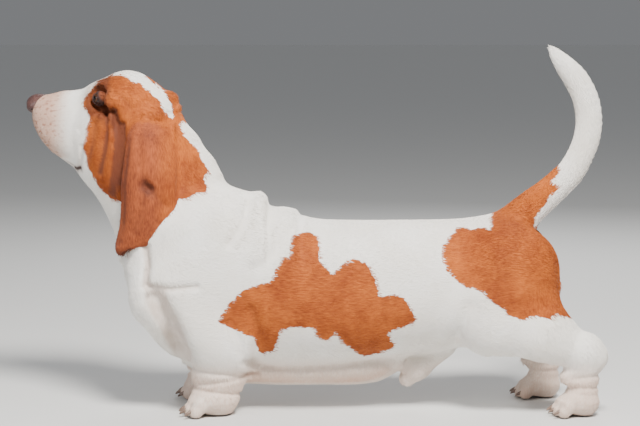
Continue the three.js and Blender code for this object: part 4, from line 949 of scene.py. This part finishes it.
# Nose. Bare liver-brown leather, pebbled and damp, with a round nostril either side that
# runs back into a slit, and a groove down the middle.
def nose_field(x, y, z):
    v = np.abs(y)
    p = [x, v, z]
    d = soften(egg([x, y, z], (-493, 0, 533), (23, 20, 17)), egg(p, (-495, 12, 527), (17, 10, 12)), 6)
    d = carve(d, egg(p, (-513, 9, 528), (9, 4.6, 4.6)), 1.5)
    d = carve(d, limb(p, (-510, 10, 527), (-494, 23, 522), 2.8, 1.8), 1)
    return d + 1.6 * np.exp(-((v / 1.6) ** 2)) * (x < -500)


nose_points, nose_quads = net_surface(
    nose_field, planes((-518, -462, 0.9)), planes((-28, 28, 0.9)), planes((511, 556, 0.9))
)
nose_points = settle(nose_points, nose_field, 0.2, 1)
nose_points[:, 0], nose_points[:, 1] = from_head(nose_points[:, 0], nose_points[:, 1])
nose = new_piece("nose_leather", nose_points, nose_quads)
nose_material, tree, shader = new_material("nose_leather")
pebbles = node(tree, "ShaderNodeTexVoronoi", {"feature": "DISTANCE_TO_EDGE"}, Scale=620.0)
tree.links.new(node(tree, "ShaderNodeTexCoord").outputs["Object"], pebbles.inputs["Vector"])
crease = ramped(tree, pebbles.outputs["Distance"], 0.0, 0.22)
mottle = ramped(tree, noise(tree, 60, 2), -0.3, 0.3)
leather = blend_colours(tree, mottle, (0.055, 0.022, 0.02, 1), (0.17, 0.07, 0.058, 1))
leather = blend_colours(tree, crease, (0.05, 0.02, 0.018, 1), leather)
tree.links.new(leather, shader.inputs["Base Color"])
set_finish(shader, Roughness=0.42, Coat_Weight=0.25, Coat_Roughness=0.2)
bump = node(tree, "ShaderNodeBump", Strength=0.6, Distance=0.0006, Height=crease)
tree.links.new(bump.outputs[0], shader.inputs["Normal"])
nose.data.materials.append(nose_material)
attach(nose, "root")
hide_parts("nose")


# Claws. Short blunt horn, dark to pale brown, curved down from the end of each toe.
horn, tree, shader = new_material("horn")
grain = noise(tree, 900, 2, (0.3, 1, 1))
tree.links.new(
    blend_colours(tree, ramped(tree, grain, -0.3, 0.3), (0.10, 0.06, 0.045, 1), (0.30, 0.21, 0.16, 1)),
    shader.inputs["Base Color"],
)
shader.inputs["Roughness"].default_value = 0.4


def claw(root, heading, side, size):
    """One claw, the same sweep as its solid: straight out of the toe and bending down."""
    rings, sides = 9, 12
    ahead = np.array([-math.cos(heading), math.sin(heading) * side, 0])
    aside = np.array([-ahead[1], ahead[0], 0])
    places = []
    for i in range(rings):
        t = i / (rings - 1)
        middle = np.array(root) + ahead * size * t - np.array([0, 0, size * 0.38 * t * t])
        radius = size * 0.31 * math.sqrt(1 - t * 0.85) * (1 if i < rings - 1 else 0.55)
        for j in range(sides):
            angle = 2 * math.pi * j / sides
            raised = np.array([0, 0, math.sin(angle) * radius])
            places.append(middle + aside * math.cos(angle) * radius * 0.8 + raised)
    quads = [
        (i * sides + j, i * sides + (j + 1) % sides, (i + 1) * sides + (j + 1) % sides, (i + 1) * sides + j)
        for i in range(rings - 1)
        for j in range(sides)
    ]
    end = (rings - 1) * sides
    for k in range(sides // 2 - 1):
        cap = (k, k + 1, sides - 2 - k, sides - 1 - k)
        quads += [cap[::-1], tuple(end + j for j in cap)]
    return np.array(places), quads


def add_claw(cad_node, root, heading, side, size):
    places, quads = claw(root, heading, side, size)
    shown = new_piece("horn_" + cad_node, places, quads)
    shown.data.materials.append(horn)
    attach(shown, "root")
    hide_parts(cad_node)


for (end, name), fan in paw_toes.items():
    for i, (_, _, tip, heading, side, radius) in enumerate(fan):
        set_back = radius * 0.45
        root = (tip[0] - math.cos(heading) * set_back, tip[1] + math.sin(heading) * side * set_back, 13)
        add_claw(f"claw_{end}_{name}_{i + 1}", root, heading, side, 15.5 if end == "fore" else 13.5)
for name, side in SIDES.items():
    add_claw(f"dewclaw_{name}", (-190 + FORELEG_LEAD[name], side * 34, 40), math.radians(-20), side, 13)


# Coat. Short flat locks cover the skin from nose to tail, each a thin spindle rooted just
# under it, laid with the coat and overlapping the next. They are smallest on the face and
# feet, and stand out a little behind the thighs and along the tail.
LOCK = [(0, 0, -0.4), (3.2, -0.62, -0.05), (3.2, 0.62, -0.05), (3.2, 0, 0.3), (8.4, 0.1, 0.3)]
LOCK_FACES = [(0, 2, 1), (0, 1, 3), (0, 3, 2), (4, 1, 2), (4, 3, 1), (4, 2, 3)]
LOCK_LENGTH = 8.4
lock_mesh = bpy.data.meshes.new("lock")
lock_mesh.from_pydata([tuple(c * MM for c in p) for p in LOCK], [], LOCK_FACES)
lock_patch = [(p[0] / LOCK_LENGTH, 0.5 + p[1] * 0.4, 0) for p in LOCK]
write_values(lock_mesh, "patch", lock_patch)
lock = placed("lock", lock_mesh)


def coat_tree():
    """Scatters locks over a mesh by its own lie, hair and thick attributes."""
    made = bpy.data.node_groups.new("short_coat", "GeometryNodeTree")
    face = made.interface
    face.new_socket("Geometry", in_out="INPUT", socket_type="NodeSocketGeometry")
    inputs = {"Lock": "Object", "Per square metre": "Float", "Seed": "Int", "Coat": "Material"}
    for name, kind in inputs.items():
        face.new_socket(name, in_out="INPUT", socket_type="NodeSocket" + kind)
    face.new_socket("Geometry", in_out="OUTPUT", socket_type="NodeSocketGeometry")
    given = made.nodes.new("NodeGroupInput").outputs
    n, link = made.nodes.new, made.links.new

    def named(name, kind="FLOAT"):
        source = n("GeometryNodeInputNamedAttribute")
        source.data_type = kind
        source.inputs["Name"].default_value = name
        return source.outputs["Attribute"]

    def chance(low, high, seed):
        source = n("FunctionNodeRandomValue")
        source.inputs[2].default_value, source.inputs[3].default_value = low, high
        source.inputs["Seed"].default_value = seed
        return source.outputs[1]

    def times(a, b):
        product = n("ShaderNodeMath")
        product.operation = "MULTIPLY"
        link(a, product.inputs[0])
        link(b, product.inputs[1])
        return product.outputs[0]

    scatter = n("GeometryNodeDistributePointsOnFaces")
    link(given["Geometry"], scatter.inputs["Mesh"])
    link(times(given["Per square metre"], named("thick")), scatter.inputs["Density"])
    link(given["Seed"], scatter.inputs["Seed"])
    points_so_far = scatter.outputs["Points"]
    rooted = {"root": n("GeometryNodeInputPosition").outputs[0], "root_normal": scatter.outputs["Normal"]}
    for name, value in rooted.items():
        store = n("GeometryNodeStoreNamedAttribute")
        store.data_type = "FLOAT_VECTOR"
        store.inputs["Name"].default_value = name
        link(points_so_far, store.inputs["Geometry"])
        link(value, store.inputs["Value"])
        points_so_far = store.outputs[0]
    aim = n("FunctionNodeAxesToRotation")
    aim.primary_axis, aim.secondary_axis = "Z", "X"
    link(scatter.outputs["Normal"], aim.inputs[0])
    link(named("lie", "FLOAT_VECTOR"), aim.inputs[1])
    sway = n("ShaderNodeCombineXYZ")
    link(times(named("lift"), chance(-1.3, -0.5, 3)), sway.inputs[1])
    link(chance(-0.22, 0.22, 4), sway.inputs[2])
    swung = n("FunctionNodeEulerToRotation")
    link(sway.outputs[0], swung.inputs[0])
    turned = n("FunctionNodeRotateRotation")
    turned.rotation_space = "LOCAL"
    link(aim.outputs[0], turned.inputs[0])
    link(swung.outputs[0], turned.inputs[1])
    stock = n("GeometryNodeObjectInfo")
    link(given["Lock"], stock.inputs["Object"])
    plant = n("GeometryNodeInstanceOnPoints")
    link(points_so_far, plant.inputs["Points"])
    link(stock.outputs["Geometry"], plant.inputs["Instance"])
    link(turned.outputs[0], plant.inputs["Rotation"])
    link(times(named("hair"), chance(0.75 / LOCK_LENGTH, 1.2 / LOCK_LENGTH, 5)), plant.inputs["Scale"])
    real = n("GeometryNodeRealizeInstances")
    link(plant.outputs[0], real.inputs[0])
    dressed = n("GeometryNodeSetMaterial")
    link(real.outputs[0], dressed.inputs["Geometry"])
    link(given["Coat"], dressed.inputs["Material"])
    link(dressed.outputs[0], n("NodeGroupOutput").inputs[0])
    return made


thick = (8 / np.maximum(hair, 3.5)) ** 1.4 * ramp(2.5, 6, z)
thick *= 1 - 0.9 * rim
lift = 0.015 + 0.07 * ramp(370, 420, x) * ramp(120, 200, z) * (1 - on_tail) + 0.05 * on_tail
write_values(skin.data, "thick", thick)
write_values(skin.data, "lift", lift)
skin.data.calc_loop_triangles()
corners = np.empty(len(skin.data.loop_triangles) * 3, np.int32)
skin.data.loop_triangles.foreach_get("vertices", corners)
corners = corners.reshape(-1, 3)
triangle = points[corners]
centre = triangle.mean(1)
area = np.linalg.norm(np.cross(triangle[:, 1] - triangle[:, 0], triangle[:, 2] - triangle[:, 0]), axis=1) / 2
cx, cy, cz = centre.T
of_tail = on_tail[corners].mean(1) > 0.5
of_ear = ear[corners].mean(1) > 0.5
of_head = (cx < -235) & (cz > 405) & ~of_ear
of_neck = (cx < -165) & (cz > 250) & ~of_head & ~of_ear
REGIONS = {
    "tail": (of_tail, 13000),
    "ears": (of_ear, 15000),
    "head": (of_head, 24000),
    "neck": (of_neck, 14000),
    "chest": ((cx < -60) & ~of_neck & ~of_head & ~of_ear, 24000),
    "left_side": ((cx >= -60) & (cx < 240) & (cy < 0), 15000),
    "right_side": ((cx >= -60) & (cx < 240) & (cy >= 0), 15000),
    "rump": ((cx >= 240) & (cz > 190) & ~of_tail, 17000),
    "hind_legs": ((cx >= 240) & (cz <= 190) & ~of_tail, 17000),
}
KEPT = ("red", "ear", "rim", "shade", "stain", "muzzle", "pad", "hair", "thick", "lift", "lie")
tree_for_coat = coat_tree()
sockets = [item for item in tree_for_coat.interface.items_tree if item.in_out == "INPUT"]
socket_of = {item.name: item.identifier for item in sockets}


def values_of(mesh, name, count):
    """An attribute of a mesh's points as an array with count columns."""
    flat = np.empty(len(mesh.vertices) * count, np.float32)
    mesh.attributes[name].data.foreach_get("vector" if count == 3 else "value", flat)
    return flat.reshape(-1, count).astype(float)


skin_values = {name: values_of(skin.data, name, 3 if name == "lie" else 1) for name in KEPT}
for seed, (region, (mask, locks)) in enumerate(REGIONS.items()):
    used, renumbered = np.unique(corners[mask], return_inverse=True)
    ground_mesh = bpy.data.meshes.new("ground")
    ground_mesh.from_pydata((points[used] * MM).tolist(), [], renumbered.reshape(-1, 3).tolist())
    for name in KEPT:
        write_values(ground_mesh, name, skin_values[name][used])
    ground = placed("ground", ground_mesh)
    share = (area[mask] * thick[corners[mask]].mean(1)).sum() * MM * MM
    grow = ground.modifiers.new("coat", "NODES")
    grow.node_group = tree_for_coat
    given = {"Lock": lock, "Per square metre": locks / share, "Seed": 11 + seed, "Coat": coat}
    for name, value in given.items():
        grow[socket_of[name]] = value
    shown_mesh = bpy.data.meshes.new_from_object(ground.evaluated_get(bpy.context.evaluated_depsgraph_get()))
    ground.modifiers.clear()
    bpy.data.objects.remove(ground)
    root, root_normal, patch = (values_of(shown_mesh, name, 3) for name in ("root", "root_normal", "patch"))
    # The skin's own shape laid out in six cells, one for each way that it can face.
    facing = np.abs(root_normal).argmax(1)
    ahead = np.take_along_axis(root_normal, facing[:, None], 1)[:, 0] > 0
    low, high = root.min(0), root.max(0)
    scaled = (root - low) / np.maximum(high - low, 1e-6)
    first = np.where(facing == 0, scaled[:, 1], scaled[:, 0])
    second = np.where(facing == 2, scaled[:, 1], scaled[:, 2])
    place = np.stack([(facing + 0.02 + 0.95 * first) / 3, (ahead + 0.02 + 0.95 * second) / 2], 1)
    place += patch[:, :2] * 0.003
    ends = np.empty(len(shown_mesh.loops), np.int32)
    shown_mesh.loops.foreach_get("vertex_index", ends)
    for layer in list(shown_mesh.uv_layers):
        shown_mesh.uv_layers.remove(layer)
    bake = shown_mesh.uv_layers.new(name="OFBake")
    bake.data.foreach_set("uv", place[ends].astype(np.float32).ravel())
    for name in ("root", "root_normal", "patch"):
        shown_mesh.attributes.remove(shown_mesh.attributes[name])
    shown_mesh.name = "coat_" + region
    shown = placed("coat_" + region, shown_mesh)
    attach(shown, "root")
bpy.data.objects.remove(lock)


# Whiskers. A few stiff pale hairs from the rows of dark roots on the lips and one above
# each eye, tapered and bent back, each a thin solid of five sides.
WHISKERS = [
    (-486, 500, 24), (-474, 494, 28), (-460, 492, 30), (-480, 484, 24), (-466, 478, 30),
    (-450, 476, 30), (-470, 464, 24), (-454, 462, 26), (-384, 566, 20),
]
WHISKER_RINGS = 7
WHISKER_SIDES = 5
whisker_points, whisker_faces = [], []
chance = np.random.default_rng(5)
for side in SIDES.values():
    for hx, hz, length in WHISKERS:
        across = np.arange(8, 80, 0.5)
        depth = head_field([np.full_like(across, hx), across, np.full_like(across, hz)])
        out = np.nonzero(depth > -0.8)[0][0]
        start = np.array([hx, across[out] * side, hz])
        way = np.array([-0.15 + 0.3 * chance.random(), 0.9 * side, -0.1 + 0.3 * chance.random()])
        way /= np.linalg.norm(way)
        first = len(whisker_points)
        for step in range(WHISKER_RINGS):
            t = step / (WHISKER_RINGS - 1)
            middle = start + way * length * t + np.array([0.32, 0, -0.18]) * length * t * t
            radius = 0.32 * (1 - 0.85 * t)
            for j in range(WHISKER_SIDES):
                angle = 2 * math.pi * j / WHISKER_SIDES * side
                middle_x, middle_y = from_head(*(middle[:2] + np.array([radius * math.cos(angle), 0])))
                whisker_points.append((middle_x, middle_y, middle[2] + radius * math.sin(angle)))
        last = first + (WHISKER_RINGS - 1) * WHISKER_SIDES
        for ring_start in range(first, last, WHISKER_SIDES):
            for j in range(WHISKER_SIDES):
                a, b = ring_start + j, ring_start + (j + 1) % WHISKER_SIDES
                whisker_faces.append((a, a + WHISKER_SIDES, b + WHISKER_SIDES, b))
        whisker_faces.append((first, first + 1, first + 2, first + 4))
        whisker_faces.append((last + 4, last + 2, last + 1, last))
whiskers = new_piece("whiskers", np.array(whisker_points), whisker_faces)
hair_material, tree, shader = new_material("whisker")
shade = ramped(tree, noise(tree, 40, 1), -0.4, 0.4)
pale_hair = blend_colours(tree, shade, (0.55, 0.47, 0.4, 1), (0.78, 0.74, 0.68, 1))
tree.links.new(pale_hair, shader.inputs["Base Color"])
shader.inputs["Roughness"].default_value = 0.5
whiskers.data.materials.append(hair_material)
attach(whiskers, "root")


# Room. A plain pale floor and soft studio light: a broad lamp above and a little to the
# right of the camera, a weaker one from the left, one behind and a glow from all round.
floor_mesh = bpy.data.meshes.new("floor")
HALF_FLOOR = 40
floor_corners = [(x * HALF_FLOOR, y * HALF_FLOOR, 0) for x, y in ((-1, -1), (1, -1), (1, 1), (-1, 1))]
floor_mesh.from_pydata(floor_corners, [], [(0, 1, 2, 3)])
floor = placed("floor", floor_mesh)
floor_material, tree, shader = new_material("floor")
set_finish(shader, Base_Color=(0.66, 0.66, 0.65, 1), Roughness=0.9)
floor_mesh.materials.append(floor_material)


def lamp(name, place, aim, size, power, colour=(1, 1, 1)):
    data = bpy.data.lights.new(name, "AREA")
    data.shape = "DISK"
    data.size = size
    data.energy = power
    data.color = colour
    made = placed(name, data)
    made.location = place
    made.rotation_euler = (Vector(aim) - Vector(place)).to_track_quat("-Z", "Y").to_euler()


lamp("key", (0.5, -1.7, 2.6), (-0.05, 0, 0.3), 0.9, 215, (1.0, 0.97, 0.92))
lamp("fill", (-2.2, -1.8, 1.3), (0, 0, 0.3), 1.6, 20, (0.93, 0.96, 1.0))
lamp("back", (0.6, 2.4, 1.9), (0, 0, 0.35), 1.4, 40)
world = bpy.data.worlds.new("studio")
bpy.context.scene.world = world
world.use_nodes = True
glow = world.node_tree.nodes["Background"]
glow.inputs[0].default_value = (0.77, 0.79, 0.82, 1)
seen = node(world.node_tree, "ShaderNodeLightPath").outputs["Is Camera Ray"]
world.node_tree.links.new(maths(world.node_tree, "MULTIPLY_ADD", seen, -0.1, 0.36), glow.inputs[1])
